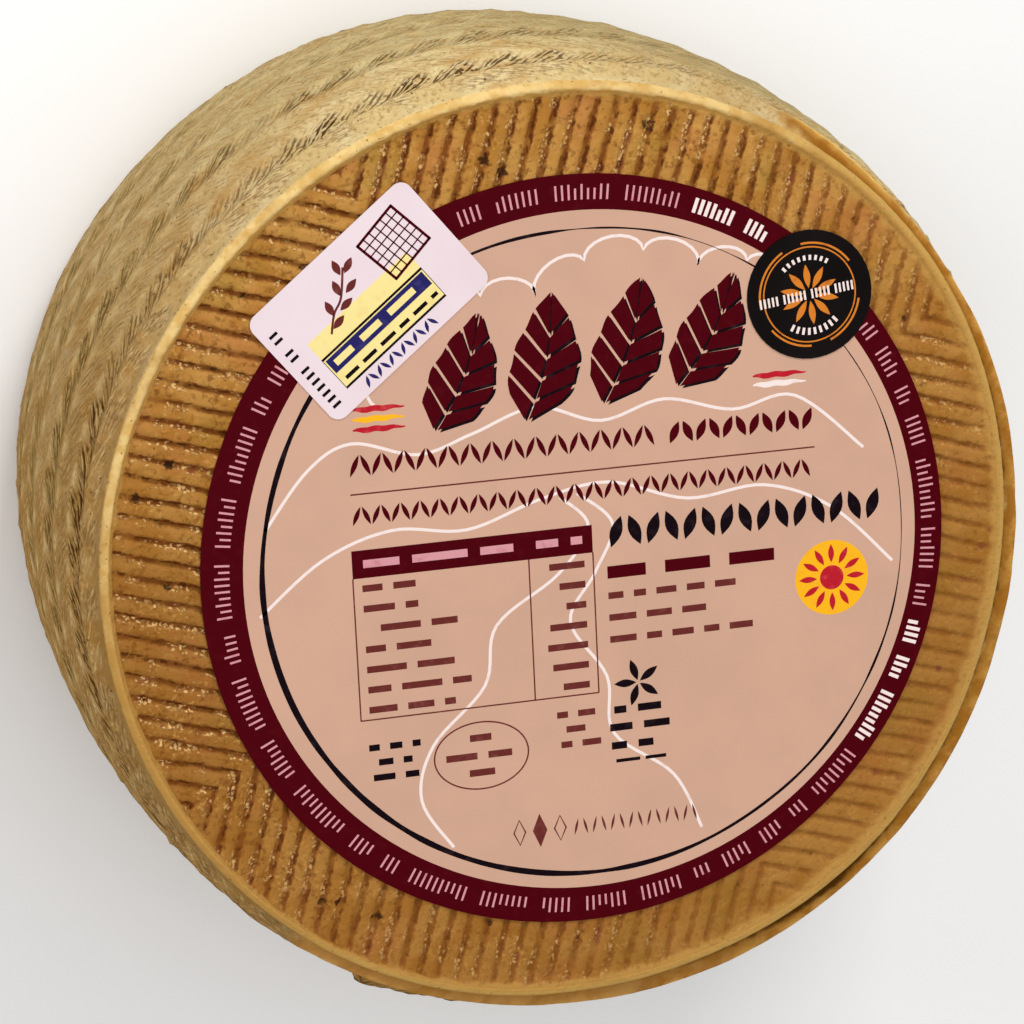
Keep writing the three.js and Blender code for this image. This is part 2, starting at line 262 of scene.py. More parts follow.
@dataclass(frozen=True)
class Rind:
    """The finish of the cheese: waxy ochre ridges, mouldy grooves, a pale lip and a straw-marked side, with painted
    shade in the grooves, the crease and one stretch of the side, and painted highlights on the rims' edges and the
    side's strands.
    """

    pitch: float = 3.85
    ridge_light: Colour = seen(191, 139, 68)
    ridge_dark: Colour = seen(172, 117, 46)
    ridge_olive: Colour = seen(162, 124, 50)
    ridge_rose: Colour = seen(184, 118, 62)
    ridge_brown: Colour = seen(134, 82, 26)
    speckle: Colour = seen(116, 67, 16)
    grit: Colour = seen(208, 158, 84)
    margin: Colour = seen(192, 148, 76)
    # Painted shade with stain: a brown band along each groove, towards its upper or right side.
    groove_shade_and_stain: Colour = seen(118, 60, 12)
    blob: Colour = seen(128, 76, 18)
    # Painted shadow with mould: the thin dark line on the upper or right side of each groove.
    line: Colour = seen(84, 38, 4)
    plum: Colour = seen(124, 58, 40)
    fleck: Colour = seen(224, 176, 112)
    spot: Colour = seen(52, 27, 9)
    lip_pale: Colour = seen(230, 198, 132)
    lip_shade: Colour = seen(213, 172, 100)
    lip_brown: Colour = seen(188, 142, 72)
    flange: Colour = seen(216, 160, 78)
    flange_brown: Colour = seen(178, 118, 44)
    # Painted highlight along the flange's and the lip's outer edges.
    edge_highlight_pale: Colour = seen(232, 202, 122)
    # Painted shade on the flange beside the crease; also the colour of the flange's dark smears.
    flange_dark: Colour = seen(146, 94, 28)
    # Painted shade with some dirt: the dark crease under the lip.
    crease: Colour = seen(82, 50, 12)
    side_pale: Colour = seen(234, 214, 162)
    side_tan: Colour = seen(219, 194, 137)
    side_warm: Colour = seen(192, 146, 84)
    side_brown: Colour = seen(138, 97, 40)
    side_olive: Colour = seen(144, 120, 66)
    # Grey low down on the side, and painted shade over one stretch of it.
    side_grey_and_shade: Colour = seen(160, 149, 107)
    # Painted highlights on the side's fibres, strand tips and wisps.
    glint: Colour = seen(227, 204, 147)
    stroke: Colour = seen(70, 38, 4)

    def off_groove(self, recipe: Recipe) -> bpy.types.NodeSocket:
        """How far each point is from the middle of its groove, in millimetres to the upper or right side."""
        pair = recipe.node("ShaderNodeUVMap", {"uv_map": "weave"}).outputs["UV"]
        parted = recipe.node("ShaderNodeSeparateXYZ", None, {"Vector": pair})
        across, along = parted.outputs["X"], parted.outputs["Y"]
        upright = recipe.math("LESS_THAN", recipe.math("ABSOLUTE", across, 0.0), recipe.math("ABSOLUTE", along, 0.0))
        counted = recipe.node("ShaderNodeMix", {"data_type": "FLOAT"}, {0: upright, 2: along, 3: across}).outputs[0]
        middle = recipe.math("SUBTRACT", recipe.math("FRACT", counted, 0.0), 0.5)
        wander = recipe.math("SUBTRACT", recipe.grain(1.5, 3), 0.5)
        return recipe.heap((self.pitch, middle), (1.1, wander))

    def near(self, recipe: Recipe, away: bpy.types.NodeSocket, at: float, clear: float, full: float) -> bpy.types.NodeSocket:
        """A line along the grooves, full within one distance of its place and gone beyond another."""
        distance = recipe.math("ABSOLUTE", recipe.math("SUBTRACT", away, at), 0.0)
        return recipe.step(distance, clear, full)

    def flecks(self, recipe: Recipe, away: bpy.types.NodeSocket) -> bpy.types.NodeSocket:
        """The clusters of pale grains beside the grooves."""
        scattered = recipe.step(recipe.grain(6, 2), 0.44, 0.54)
        rough = recipe.product(recipe.step(recipe.measure("sharp"), 0.52, 0.64), 0.6)
        shown = recipe.math("MAXIMUM", self.crisp(recipe), rough)
        clusters = recipe.product(scattered, shown, recipe.measure("grooved"))
        return recipe.product(self.near(recipe, away, -0.4, 0.85, 0.45), recipe.kernels(0.9, 0.15), clusters)

    def crisp(self, recipe: Recipe) -> bpy.types.NodeSocket:
        """How crisp the marks along the grooves are, from almost none on one side of the wheel to full."""
        return recipe.step(recipe.measure("sharp"), 0.5, 0.92)

    def face_colour(self, recipe: Recipe) -> bpy.types.NodeSocket:
        """The pressed faces: ridges, grooves with a dark line and pale grains, and dark mould spots."""
        away = self.off_groove(recipe)
        grooved = recipe.measure("grooved")
        patches = recipe.step(recipe.grain(9, 4), 0.38, 0.64)
        colour = recipe.blend(patches, self.ridge_light, self.ridge_dark)
        crisp = self.crisp(recipe)
        olive = recipe.product(recipe.step(recipe.grain(17, 3), 0.54, 0.68), 0.55)
        colour = recipe.blend(olive, colour, self.ridge_olive)
        rose = recipe.product(recipe.step(recipe.grain(14, 3), 0.52, 0.68), 0.55)
        colour = recipe.blend(rose, colour, self.ridge_rose)
        colour = recipe.blend(recipe.product(recipe.measure("brown"), 0.6), colour, self.ridge_brown)
        plain = recipe.step(grooved, 0.75, 0.1)
        colour = recipe.blend(recipe.product(plain, 0.6), colour, self.margin)
        speckles = recipe.product(recipe.step(recipe.grain(1.2, 5), 0.5, 0.72), recipe.heap((0.4, crisp), (0.3, 1.0)))
        colour = recipe.blend(speckles, colour, self.speckle)
        scattered = recipe.step(recipe.grain(6, 2), 0.35, 0.65)
        gritty = recipe.product(recipe.step(recipe.grain(0.9, 4), 0.54, 0.7), scattered, recipe.heap((0.3, crisp), (0.25, 1.0)))
        colour = recipe.blend(gritty, colour, self.grit)
        patchy = recipe.step(recipe.grain(5, 3), 0.26, 0.56)
        # Painted shade with stain: a brown band in each groove, towards its upper or right side.
        groove_shade_and_stain = recipe.product(self.near(recipe, away, 0.15, 0.9, 0.25), grooved, patchy, recipe.heap((0.4, crisp), (0.45, 1.0)))
        colour = recipe.blend(groove_shade_and_stain, colour, self.groove_shade_and_stain)
        short = recipe.step(recipe.grain(2.0, 3), 0.52, 0.6)
        rough = recipe.step(recipe.measure("sharp"), 0.45, 0.62)
        kept = recipe.heap((0.65, rough), (-0.45, crisp), (0.12, 1.0))
        blobs = recipe.product(self.near(recipe, away, 0.3, 0.85, 0.3), short, grooved, kept)
        colour = recipe.blend(blobs, colour, self.blob)
        plum = recipe.product(self.near(recipe, away, 0.0, 1.3, 0.4), grooved, recipe.step(recipe.grain(6, 3), 0.6, 0.7), 0.7)
        colour = recipe.blend(plum, colour, self.plum)
        # Painted shadow with mould: a broken dark line on the upper or right side of each groove, where the grooves'
        # shadows fall.
        broken = recipe.step(recipe.grain(2.2, 4), 0.44, 0.58)
        line = recipe.product(self.near(recipe, away, 0.5, 0.48, 0.12), broken, grooved, crisp, 0.9)
        colour = recipe.blend(line, colour, self.line)
        colour = recipe.blend(self.flecks(recipe, away), colour, self.fleck)
        crumbs = recipe.math("SUBTRACT", recipe.grain(1.3, 4), 0.5)
        ragged = recipe.math("ADD", recipe.measure("spot"), recipe.product(crumbs, 2.6))
        return recipe.blend(recipe.product(recipe.step(ragged, 0.35, 0.95), 0.92), colour, self.spot)

    def rim_colour(self, recipe: Recipe) -> bpy.types.NodeSocket:
        """The smooth lip, the crease below it and the flange, with painted shade in and beside the crease and painted
        highlights on the edges.
        """
        clouds = recipe.math("SUBTRACT", recipe.grain(6, 3), 0.5)
        brown = recipe.math("ADD", recipe.measure("brown"), clouds)
        mottled = recipe.blend(recipe.step(recipe.grain(3.2, 4), 0.4, 0.64), self.lip_pale, self.lip_shade)
        colour = recipe.blend(recipe.step(brown, 0.0, 0.9), mottled, self.lip_brown)
        dots = recipe.product(recipe.step(recipe.grain(0.9, 2), 0.68, 0.74), 0.8)
        colour = recipe.blend(dots, colour, self.speckle)
        flange = recipe.measure("flange")
        plain = recipe.blend(recipe.step(recipe.grain(5, 4), 0.44, 0.62), self.flange, self.flange_brown)
        # Painted shade: the flange darkens towards the crease.
        shaded = recipe.blend(recipe.step(flange, 0.1, 0.8), self.flange_dark, plain)
        shaded = recipe.blend(recipe.product(recipe.step(brown, 0.5, 1.1), 0.55), shaded, self.side_warm)
        smears = recipe.step(recipe.grain(1.0, 3, recipe.along("weave", 1.6, 0.7)), 0.5, 0.68)
        shaded = recipe.blend(recipe.product(smears, 0.5), shaded, self.flange_dark)
        ragged = recipe.math("ADD", flange, recipe.product(clouds, 0.5))
        colour = recipe.blend(recipe.step(ragged, 0.0, 0.3), colour, shaded)
        # Painted highlight along the outer edges.
        colour = recipe.blend(recipe.product(recipe.measure("edge_highlight"), 0.8), colour, self.edge_highlight_pale)
        # Painted shade with some dirt in the crease, and a painted shade line just under the lip.
        wander = recipe.product(recipe.math("SUBTRACT", recipe.grain(2.4, 3), 0.5), 0.7)
        ragged = recipe.math("ADD", recipe.measure("crease"), wander)
        return recipe.blend(recipe.step(ragged, 0.25, 0.75), colour, self.crease)

    def fibre_lines(
        self, recipe: Recipe, count: float, at: float, half: float, lengths: float, shortness: float
    ) -> bpy.types.NodeSocket:
        """Short lines between the belt's fibres.

        Args:
            recipe: The material in the making.
            count: How many lines a strand has.
            at: Where they lie between two fibres, from 0 to 1.
            half: Half their width, of the distance between them.
            lengths: The noise above which a line shows; more of them show the lower it is.
            shortness: How many times a line breaks off along a strand's width.

        Returns:
            How much of a line is at each point.
        """
        pair = recipe.node("ShaderNodeUVMap", {"uv_map": "weave"}).outputs["UV"]
        across = recipe.node("ShaderNodeSeparateXYZ", None, {"Vector": pair}).outputs["X"]
        bends = recipe.grain(1.0, 2, recipe.along("weave", 1.7, 1.2))
        jitter = recipe.grain(1.0, 2, recipe.along("weave", 6.0, 7.0))
        counted = recipe.math("ADD", recipe.heap((count, across), (1.7, bends), (0.35, jitter)), at)
        line = recipe.math("ABSOLUTE", recipe.math("SUBTRACT", recipe.math("FRACT", counted, 0.0), 0.5), 0.0)
        kept = recipe.grain(1.0, 2, recipe.along("weave", count + 1, shortness))
        return recipe.product(recipe.step(line, half * 1.35, half * 0.55), recipe.step(kept, lengths, lengths + 0.09))

    def strokes(self, recipe: Recipe) -> bpy.types.NodeSocket:
        """The short dark strokes that the belt's fibres left in the side."""
        crumbs = recipe.step(recipe.grain(1.0, 3, recipe.along("weave", 9.0, 7.0)), 0.58, 0.64)
        dark = recipe.math("MAXIMUM", self.fibre_lines(recipe, 5.5, 0.0, 0.26, 0.43, 2.8), crumbs)
        return recipe.product(dark, recipe.measure("mark"))

    def scratches(self, recipe: Recipe) -> bpy.types.NodeSocket:
        """The fine, almost level scratches between the lip and the first row."""
        fine = recipe.step(recipe.grain(1.0, 4, recipe.along("weave", 3.4, 20.0, -0.24)), 0.47, 0.62)
        patchy = recipe.step(recipe.grain(6, 2), 0.38, 0.6)
        return recipe.product(fine, patchy, recipe.measure("scuffed"))

    def wisps(self, recipe: Recipe) -> bpy.types.NodeSocket:
        """Painted highlights: the pale wisps between those scratches."""
        fine = recipe.step(recipe.grain(1.0, 4, recipe.along("weave", 2.6, 15.0, -0.34)), 0.52, 0.68)
        return recipe.product(fine, recipe.measure("scuffed"))

    def side_colour(self, recipe: Recipe, strokes: bpy.types.NodeSocket) -> bpy.types.NodeSocket:
        """The side: pale straw-coloured strands, olive in every other row, with dark strokes between their fibres."""
        warm = recipe.product(recipe.step(recipe.grain(16, 3), 0.46, 0.66), 0.65)
        colour = recipe.blend(warm, self.side_tan, self.side_warm)
        colour = recipe.blend(recipe.step(recipe.grain(6, 4), 0.42, 0.66), colour, self.side_pale)
        colour = recipe.blend(recipe.product(recipe.measure("brown"), 0.85), colour, self.side_brown)
        # Grey low down, and painted shade over one stretch of the side.
        colour = recipe.blend(recipe.measure("dull"), colour, self.side_grey_and_shade)
        weft = recipe.measure("weft")
        fine = recipe.step(recipe.grain(1.0, 4, recipe.along("weave", 9.0, 6.0)), 0.44, 0.68)
        colour = recipe.blend(recipe.product(fine, weft, 0.5), colour, self.side_warm)
        rows = recipe.product(recipe.measure("row"), recipe.step(recipe.grain(3.4, 3), 0.22, 0.58))
        colour = recipe.blend(rows, colour, self.side_olive)
        threads = self.fibre_lines(recipe, 5.5, 0.3, 0.28, 0.48, 3.4)
        colour = recipe.blend(recipe.product(threads, weft, 0.45), colour, self.side_brown)
        mottled = recipe.product(recipe.step(recipe.grain(0.9, 4), 0.5, 0.74), 0.6)
        colour = recipe.blend(mottled, colour, self.side_brown)
        # Painted highlights: pale glints between the fibres, at the strand tips and in the wisps.
        glints = self.fibre_lines(recipe, 5.5, 0.5, 0.24, 0.5, 3.4)
        colour = recipe.blend(recipe.product(glints, weft, 0.26), colour, self.glint)
        colour = recipe.blend(recipe.measure("tip_highlight"), colour, self.glint)
        colour = recipe.blend(recipe.product(self.wisps(recipe), 0.36), colour, self.glint)
        colour = recipe.blend(recipe.product(self.scratches(recipe), 0.5), colour, self.speckle)
        dots = recipe.product(recipe.step(recipe.grain(1.0, 3), 0.66, 0.74), 0.75)
        colour = recipe.blend(dots, colour, self.stroke)
        return recipe.blend(recipe.product(strokes, 0.95), colour, self.stroke)

    def material(self) -> bpy.types.Material:
        """Makes the rind's material."""
        recipe = Recipe("rind")
        strokes, side = self.strokes(recipe), recipe.measure("side")
        border = recipe.math("SUBTRACT", recipe.grain(2.4, 4), 0.5)
        rim = recipe.step(recipe.heap((1.0, recipe.measure("rim")), (1.2, border)), 0.22, 0.75)
        colour = recipe.blend(side, self.face_colour(recipe), self.side_colour(recipe, strokes))
        colour = recipe.blend(rim, colour, self.rim_colour(recipe))
        fibres = recipe.product(recipe.grain(1.0, 3, recipe.along("weave", 8.0, 5.0)), recipe.measure("weft"))
        bare = recipe.math("SUBTRACT", 1.0, side)
        grains = recipe.product(self.flecks(recipe, self.off_groove(recipe)), bare)
        coarse, fine, scratches = recipe.grain(2.2, 4), recipe.grain(0.8, 4), self.scratches(recipe)
        height = recipe.heap(
            (0.34, coarse), (0.18, fine), (0.26, fibres), (-0.3, strokes), (-0.16, scratches), (0.22, grains)
        )
        dull = recipe.node("ShaderNodeMapRange", None, {"Value": recipe.grain(3, 2), "To Min": 0.42, "To Max": 0.75})
        roughness = recipe.math("MAXIMUM", dull.outputs["Result"], recipe.product(side, 0.92))
        sheen = recipe.heap((0.08, bare), (0.01, side))
        waxy = {"Specular_IOR_Level": sheen, "Subsurface_Weight": 0.06, "Subsurface_Scale": 0.002}
        return recipe.finish(colour, roughness, recipe.relief(height), **waxy)


@dataclass(frozen=True)
class Paper:
    """Smooth paper or card with a slight sheen and faint clouding.

    Attributes:
        name: The material's name.
        colour: Its printed ground.
        shade: The ground in its duller clouds.
        roughness: How dull it is.
        sheen: How much it mirrors head-on, of what glass does.
    """

    name: str
    colour: Colour
    shade: Colour
    roughness: float = 0.42
    sheen: float = 0.2

    def material(self) -> bpy.types.Material:
        """Makes the paper's material."""
        recipe = Recipe(self.name)
        clouds = recipe.step(recipe.grain(18, 3), 0.35, 0.7)
        colour = recipe.blend(clouds, self.colour, self.shade)
        height = recipe.heap((0.12, recipe.grain(24, 1)), (0.006, recipe.grain(0.5, 2)))
        return recipe.finish(colour, self.roughness, recipe.relief(height), Specular_IOR_Level=self.sheen)


@dataclass(frozen=True)
class Ink:
    """One printing colour.

    Attributes:
        name: The material's name.
        colour: The ink as printed.
        worn: The ink where it is thinner.
    """

    name: str
    colour: Colour
    worn: Colour

    def material(self) -> bpy.types.Material:
        """Makes the ink's material."""
        recipe = Recipe(self.name)
        thin = recipe.step(recipe.grain(2.4, 4), 0.5, 0.8)
        colour = recipe.blend(thin, self.colour, self.worn)
        return recipe.finish(colour, 0.45, Specular_IOR_Level=0.02)


class Spread(Enum):
    """The papers' inks."""

    MAROON = Ink("maroon_ink", seen(74, 2, 12), seen(82, 8, 16))
    BLACK = Ink("black_ink", seen(20, 10, 16), seen(44, 30, 34))
    BROWN = Ink("brown_ink", seen(104, 44, 40), seen(128, 72, 64))
    WHITE = Ink("white_ink", seen(244, 226, 220), seen(232, 206, 196))
    ROSE = Ink("rose_ink", seen(214, 150, 156), seen(196, 124, 132))
    RED = Ink("red_ink", seen(186, 30, 44), seen(206, 74, 76))
    YELLOW = Ink("yellow_ink", seen(250, 182, 32), seen(244, 168, 40))
    STRAW = Ink("straw_ink", seen(246, 226, 150), seen(240, 214, 140))
    NAVY = Ink("navy_ink", seen(40, 36, 96), seen(66, 62, 118))
    ORANGE = Ink("orange_ink", seen(214, 126, 44), seen(184, 100, 36))


@dataclass
class Skin:
    """A mesh in the making: points with their measures, and faces with the weave's coordinates."""

    measures: Sequence[str]
    points: list[np.ndarray] = field(default_factory=list)
    values: list[np.ndarray] = field(default_factory=list)
    weaves: list[np.ndarray] = field(default_factory=list)
    faces: list[Sequence[int]] = field(default_factory=list)
    seam: dict[int, Sequence[Point]] = field(default_factory=dict)
    count: int = 0

    def add(self, points: np.ndarray, weave: np.ndarray, **measures: np.ndarray) -> int:
        """Adds points.

        Args:
            points: Their places in millimetres, one row each.
            weave: The surface coordinates of each.
            **measures: The measures that aren't zero there.

        Returns:
            The number of the first of them.
        """
        first = self.count
        rows = np.zeros((len(points), len(self.measures)))
        for name, value in measures.items():
            rows[:, list(self.measures).index(name)] = value
        self.points.append(points)
        self.values.append(rows)
        self.weaves.append(weave)
        self.count += len(points)
        return first

    def face(self, corners: Sequence[int], weave: Sequence[Point] | None = None) -> None:
        """Adds one face by its corners, anticlockwise as seen from outside.

        Args:
            corners: The corners' numbers.
            weave: Their surface coordinates where they differ from the points' own, as on a seam.
        """
        if weave:
            self.seam[len(self.faces)] = weave
        self.faces.append(corners)

    def places(self) -> np.ndarray:
        """All points so far."""
        return np.concatenate(self.points)

    def piece(self, name: str, shift: np.ndarray) -> bpy.types.Object:
        """Makes the mesh object.

        Args:
            name: The piece's name.
            shift: How far the wheel's axis is from the frame's origin, in millimetres.

        Returns:
            The object, smooth shaded and in metres.
        """
        mesh = bpy.data.meshes.new(name)
        mesh.from_pydata(((self.places() + shift) * MM).tolist(), [], [list(face) for face in self.faces])
        values = np.concatenate(self.values)
        for column, measure in enumerate(self.measures):
            layer = mesh.attributes.new(measure, "FLOAT", "POINT")
            layer.data.foreach_set("value", values[:, column].astype(np.float32))
        weave = np.concatenate(self.weaves)[list(itertools.chain.from_iterable(self.faces))]
        starts = np.cumsum([0] + [len(face) for face in self.faces])
        for number, corners in self.seam.items():
            weave[starts[number] : starts[number + 1]] = corners
        mesh.uv_layers.new(name="weave").data.foreach_set("uv", weave.astype(np.float32).ravel())
        mesh.shade_smooth()
        made = bpy.data.objects.new(name, mesh)
        bpy.context.scene.collection.objects.link(made)
        return made


def zip_loops(skin: Skin, inner: Sequence[int], outer: Sequence[int], upwards: bool) -> None:
    """Fills the narrow gap between two loops round the axis with triangles.

    Args:
        skin: The mesh in the making.
        inner: The inner loop's points.
        outer: The outer loop's points.
        upwards: Whether the strip faces up.
    """
    places = skin.places()
    turns = []
    for loop in (inner, outer):
        angles = np.arctan2(places[loop, 1], places[loop, 0]) % FULL_TURN
        order = np.argsort(angles)
        ring = [loop[number] for number in order]
        turns.append((ring + ring[:1], np.append(angles[order], angles[order[0]] + FULL_TURN)))
    (inside, inside_angles), (outside, outside_angles) = turns
    near = far = 0
    while near < len(inner) or far < len(outer):
        step_inside = far == len(outer)
        if near < len(inner) and not step_inside:
            here, across, ahead = (places[point, :2] for point in (inside[near], outside[far], inside[near + 1]))
            (across_x, across_y), (ahead_x, ahead_y) = across - here, ahead - here
            step_inside = inside_angles[near + 1] < outside_angles[far + 1] and across_x * ahead_y > across_y * ahead_x
        if step_inside:
            corners = [inside[near], outside[far], inside[near + 1]]
            near += 1
        else:
            corners = [inside[near], outside[far], outside[far + 1]]
            far += 1
        skin.face(corners if upwards else corners[::-1])


@dataclass(frozen=True)
class Swell:
    """A smooth change of the outline round one direction.

    Attributes:
        height: How far the outline goes out, or in if it is below zero.
        at: Its direction, in degrees.
        spread: How wide it is, in degrees.
    """

    height: float
    at: float
    spread: float

    def away(self, azimuth: np.ndarray) -> np.ndarray:
        """How far each direction is from the middle of the change, in degrees either way."""
        return (np.degrees(azimuth) - self.at + 180) % 360 - 180

    def reach(self, azimuth: np.ndarray) -> np.ndarray:
        """How far the outline changes in each direction."""
        return self.height * np.exp(-((self.away(azimuth) / self.spread) ** 2))


@dataclass(frozen=True)
class PressedFace:
    """A pressed face: four quarters of straight grooves that meet those of their neighbours in right angles."""

    pitch: float = 3.85
    top_width: float = 1.6
    floor_width: float = 0.6
    depth: float = 1.1
    turn: float = math.radians(-17)
    grid_radius: float = 86.7
    fade: float = 1.3
    worn_fade: float = 2.2
    smooth_towards: float = math.radians(-20)
    brown_towards: float = math.radians(270)
    brown_places: tuple[Swell, ...] = (Swell(0.75, 190, 22), Swell(0.35, 12, 26), Swell(0.3, -22, 14))
    wears: tuple[Swell, ...] = (Swell(0.17, 18, 24), Swell(-0.2, 240, 26))
    spot_count: int = 58
    pit_count: int = 80
    pit_depth: float = 0.5
    seed: int = 5

    def turned(self, places: np.ndarray, angle: float) -> np.ndarray:
        """Turns places about the axis."""
        cosine, sine = math.cos(angle), math.sin(angle)
        return places[:, :2] @ np.array([[cosine, sine], [-sine, cosine]])

    def weave(self, places: np.ndarray) -> np.ndarray:
        """The surface coordinates: places along the grooves' two directions, in groove pitches."""
        wander = np.stack([Unevenness(self.seed + 1, 7.0).at(places), Unevenness(self.seed + 2, 7.0).at(places)], -1)
        return self.turned(places[:, :2] + 0.22 * wander, -self.turn) / self.pitch

    def groove(self, places: np.ndarray) -> np.ndarray:
        """How much of a groove is at each place, from 0 on a ridge to 1 on a groove's floor."""
        ragged = np.stack([Unevenness(self.seed + 3, 1.5).at(places), Unevenness(self.seed + 4, 1.5).at(places)], -1)
        nearer = np.abs(self.weave(places) + 0.035 * ragged).min(axis=1)
        from_middle = np.abs(nearer - np.floor(nearer) - 0.5) * self.pitch
        return 1 - eased(from_middle, self.floor_width / 2, self.top_width / 2)

    def dots(self, places: np.ndarray, count: int, smallest: float, largest: float, seed: int) -> np.ndarray:
        """Round dots scattered along the grooves.

        Args:
            places: Points on the flat face.
            count: How many dots there are.
            smallest: The smallest dot's radius.
            largest: The largest dot's radius.
            seed: What their places are drawn from.

        Returns:
            How much of a dot is at each point, from 0 to 1.
        """
        draw = random.Random(seed)
        share = np.zeros(len(places))
        for _ in range(count):
            radius, angle = draw.uniform(66, 88), draw.uniform(0, FULL_TURN)
            size = smallest + (largest - smallest) * draw.random() ** 2
            spot = self.turned(np.array([[radius * math.cos(angle), radius * math.sin(angle)]]), -self.turn)[0]
            nearer = int(abs(spot[1]) < abs(spot[0]))
            spot[nearer] = (math.floor(spot[nearer] / self.pitch) + 0.5) * self.pitch + draw.uniform(-0.6, 0.6)
            middle = self.turned(spot[None], self.turn)[0]
            share = np.maximum(share, 1 - eased(np.hypot(*(places[:, :2] - middle).T), 0.3 * size, 1.3 * size))
        return share

    def surface(self, flat: np.ndarray, ends: np.ndarray | float) -> tuple[np.ndarray, dict[str, np.ndarray]]:
        """Works out the face's relief, as on the upper face about the plane z = 0.

        Args:
            flat: Places on the flat face.
            ends: The radius at which the grooves end, in each place's direction.

        Returns:
            The places on the relief, and the measures there.
        """
        radius = np.hypot(flat[:, 0], flat[:, 1])
        azimuth = np.arctan2(flat[:, 1], flat[:, 0])
        worn = 0.5 + 0.5 * np.cos(azimuth - self.smooth_towards)
        ends = ends + 0.5 * Unevenness(self.seed + 9, 2.2).at(flat)
        grooved = 1 - eased(radius, ends - self.fade - self.worn_fade * worn**2, ends)
        brown = 0.4 + 0.45 * np.cos(azimuth - self.brown_towards)
        brown = np.clip(brown + sum(place.reach(azimuth) for place in self.brown_places), 0, 1)
        groove = self.groove(flat) * grooved
        pits = self.dots(flat, self.pit_count, 0.35, 0.6, self.seed)
        spots = self.dots(flat, self.spot_count, 0.6, 1.7, self.seed + 40)
        filled = eased(Unevenness(self.seed + 5, 5.0).at(flat), -0.1, 0.8)
        clumps = eased(Unevenness(self.seed + 6, 1.25).at(flat), 0.1, 0.7)
        sharp = 0.95 - 0.52 * eased(worn, 0.35, 1.0) + sum(wear.reach(azimuth) for wear in self.wears)
        depth = groove * self.depth * (1 - 0.35 * filled - 0.3 * clumps) * sharp
        slack = 0.16 * (1 + Unevenness(self.seed + 7, 9.0).at(flat)) / 2
        grit = 0.16 * (1 + Unevenness(self.seed + 8, 1.6).at(flat)) / 2
        lowered = depth + (slack + grit) * (0.2 + 0.8 * grooved) + self.pit_depth * np.maximum(pits, 0.4 * spots)
        raised = flat.copy()
        raised[:, 2] = -lowered
        spot = np.maximum(spots, 0.8 * pits) * (0.3 + 0.7 * eased(sharp, 0.5, 0.85))
        return raised, {"grooved": grooved, "sharp": sharp, "spot": spot, "brown": brown}

    def lines(self, offsets: Sequence[float], reach: float) -> np.ndarray:
        """The grid's lines: the same few offsets from the middle of every groove, out to a reach."""
        most = int(reach / self.pitch) + 2
        middles = (np.arange(-most, most) + 0.5) * self.pitch
        return np.sort((middles[:, None] + np.array(offsets)[None, :]).ravel())

    def weave_grid(
        self,
        skin: Skin,
        offsets: Sequence[float],
        inner: float,
        outer: float,
        level: float,
        upwards: bool,
        ends: Callable[[np.ndarray], np.ndarray],
    ) -> tuple[list[int], list[int]]:
        """Adds a grid of faces that follows the grooves between two radii.

        Args:
            skin: The mesh in the making.
            offsets: The grid lines' distances from each groove's middle.
            inner: The hole's radius, zero for none.
            outer: The grid's reach.
            level: The height of the face plane.
            upwards: Whether the face looks up.
            ends: Gives the radius at which the grooves end in each direction.

        Returns:
            The points round the hole, and those round the outside.
        """
        lines = self.lines(offsets, outer)
        across, along = np.meshgrid(lines, lines, indexing="ij")
        cosine, sine = math.cos(self.turn), math.sin(self.turn)
        x = across * cosine - along * sine
        y = across * sine + along * cosine
        radius = np.hypot(x, y)
        inside = (radius < outer) & (radius > inner)
        kept = inside[:-1, :-1] & inside[1:, :-1] & inside[:-1, 1:] & inside[1:, 1:]
        around = np.zeros((len(lines) + 1, len(lines) + 1), dtype=int)
        around[1:-1, 1:-1] = kept
        touching = around[:-1, :-1] + around[1:, :-1] + around[:-1, 1:] + around[1:, 1:]
        used = touching > 0
        numbers = np.full(used.shape, -1)
        numbers[used] = np.arange(used.sum())
        flat = np.stack([x[used], y[used], np.zeros(used.sum())], -1)
        relief, measures = self.surface(flat, ends(np.arctan2(flat[:, 1], flat[:, 0])))
        if not upwards:
            relief = relief * np.array([1, -1, -1])
        first = skin.add(relief + np.array([0, 0, level]), self.weave(flat), **measures)
        for i, j in zip(*np.nonzero(kept)):
            corners = [first + int(numbers[a, b]) for a, b in ((i, j), (i + 1, j), (i + 1, j + 1), (i, j + 1))]
            skin.face(corners)
        edge = used & (touching < 4)
        loops = []
        for ring in (edge & (radius < (inner + outer) / 2), edge & (radius >= (inner + outer) / 2)):
            loops.append([first + int(number) for number in numbers[ring]])
        return loops[0], loops[1]


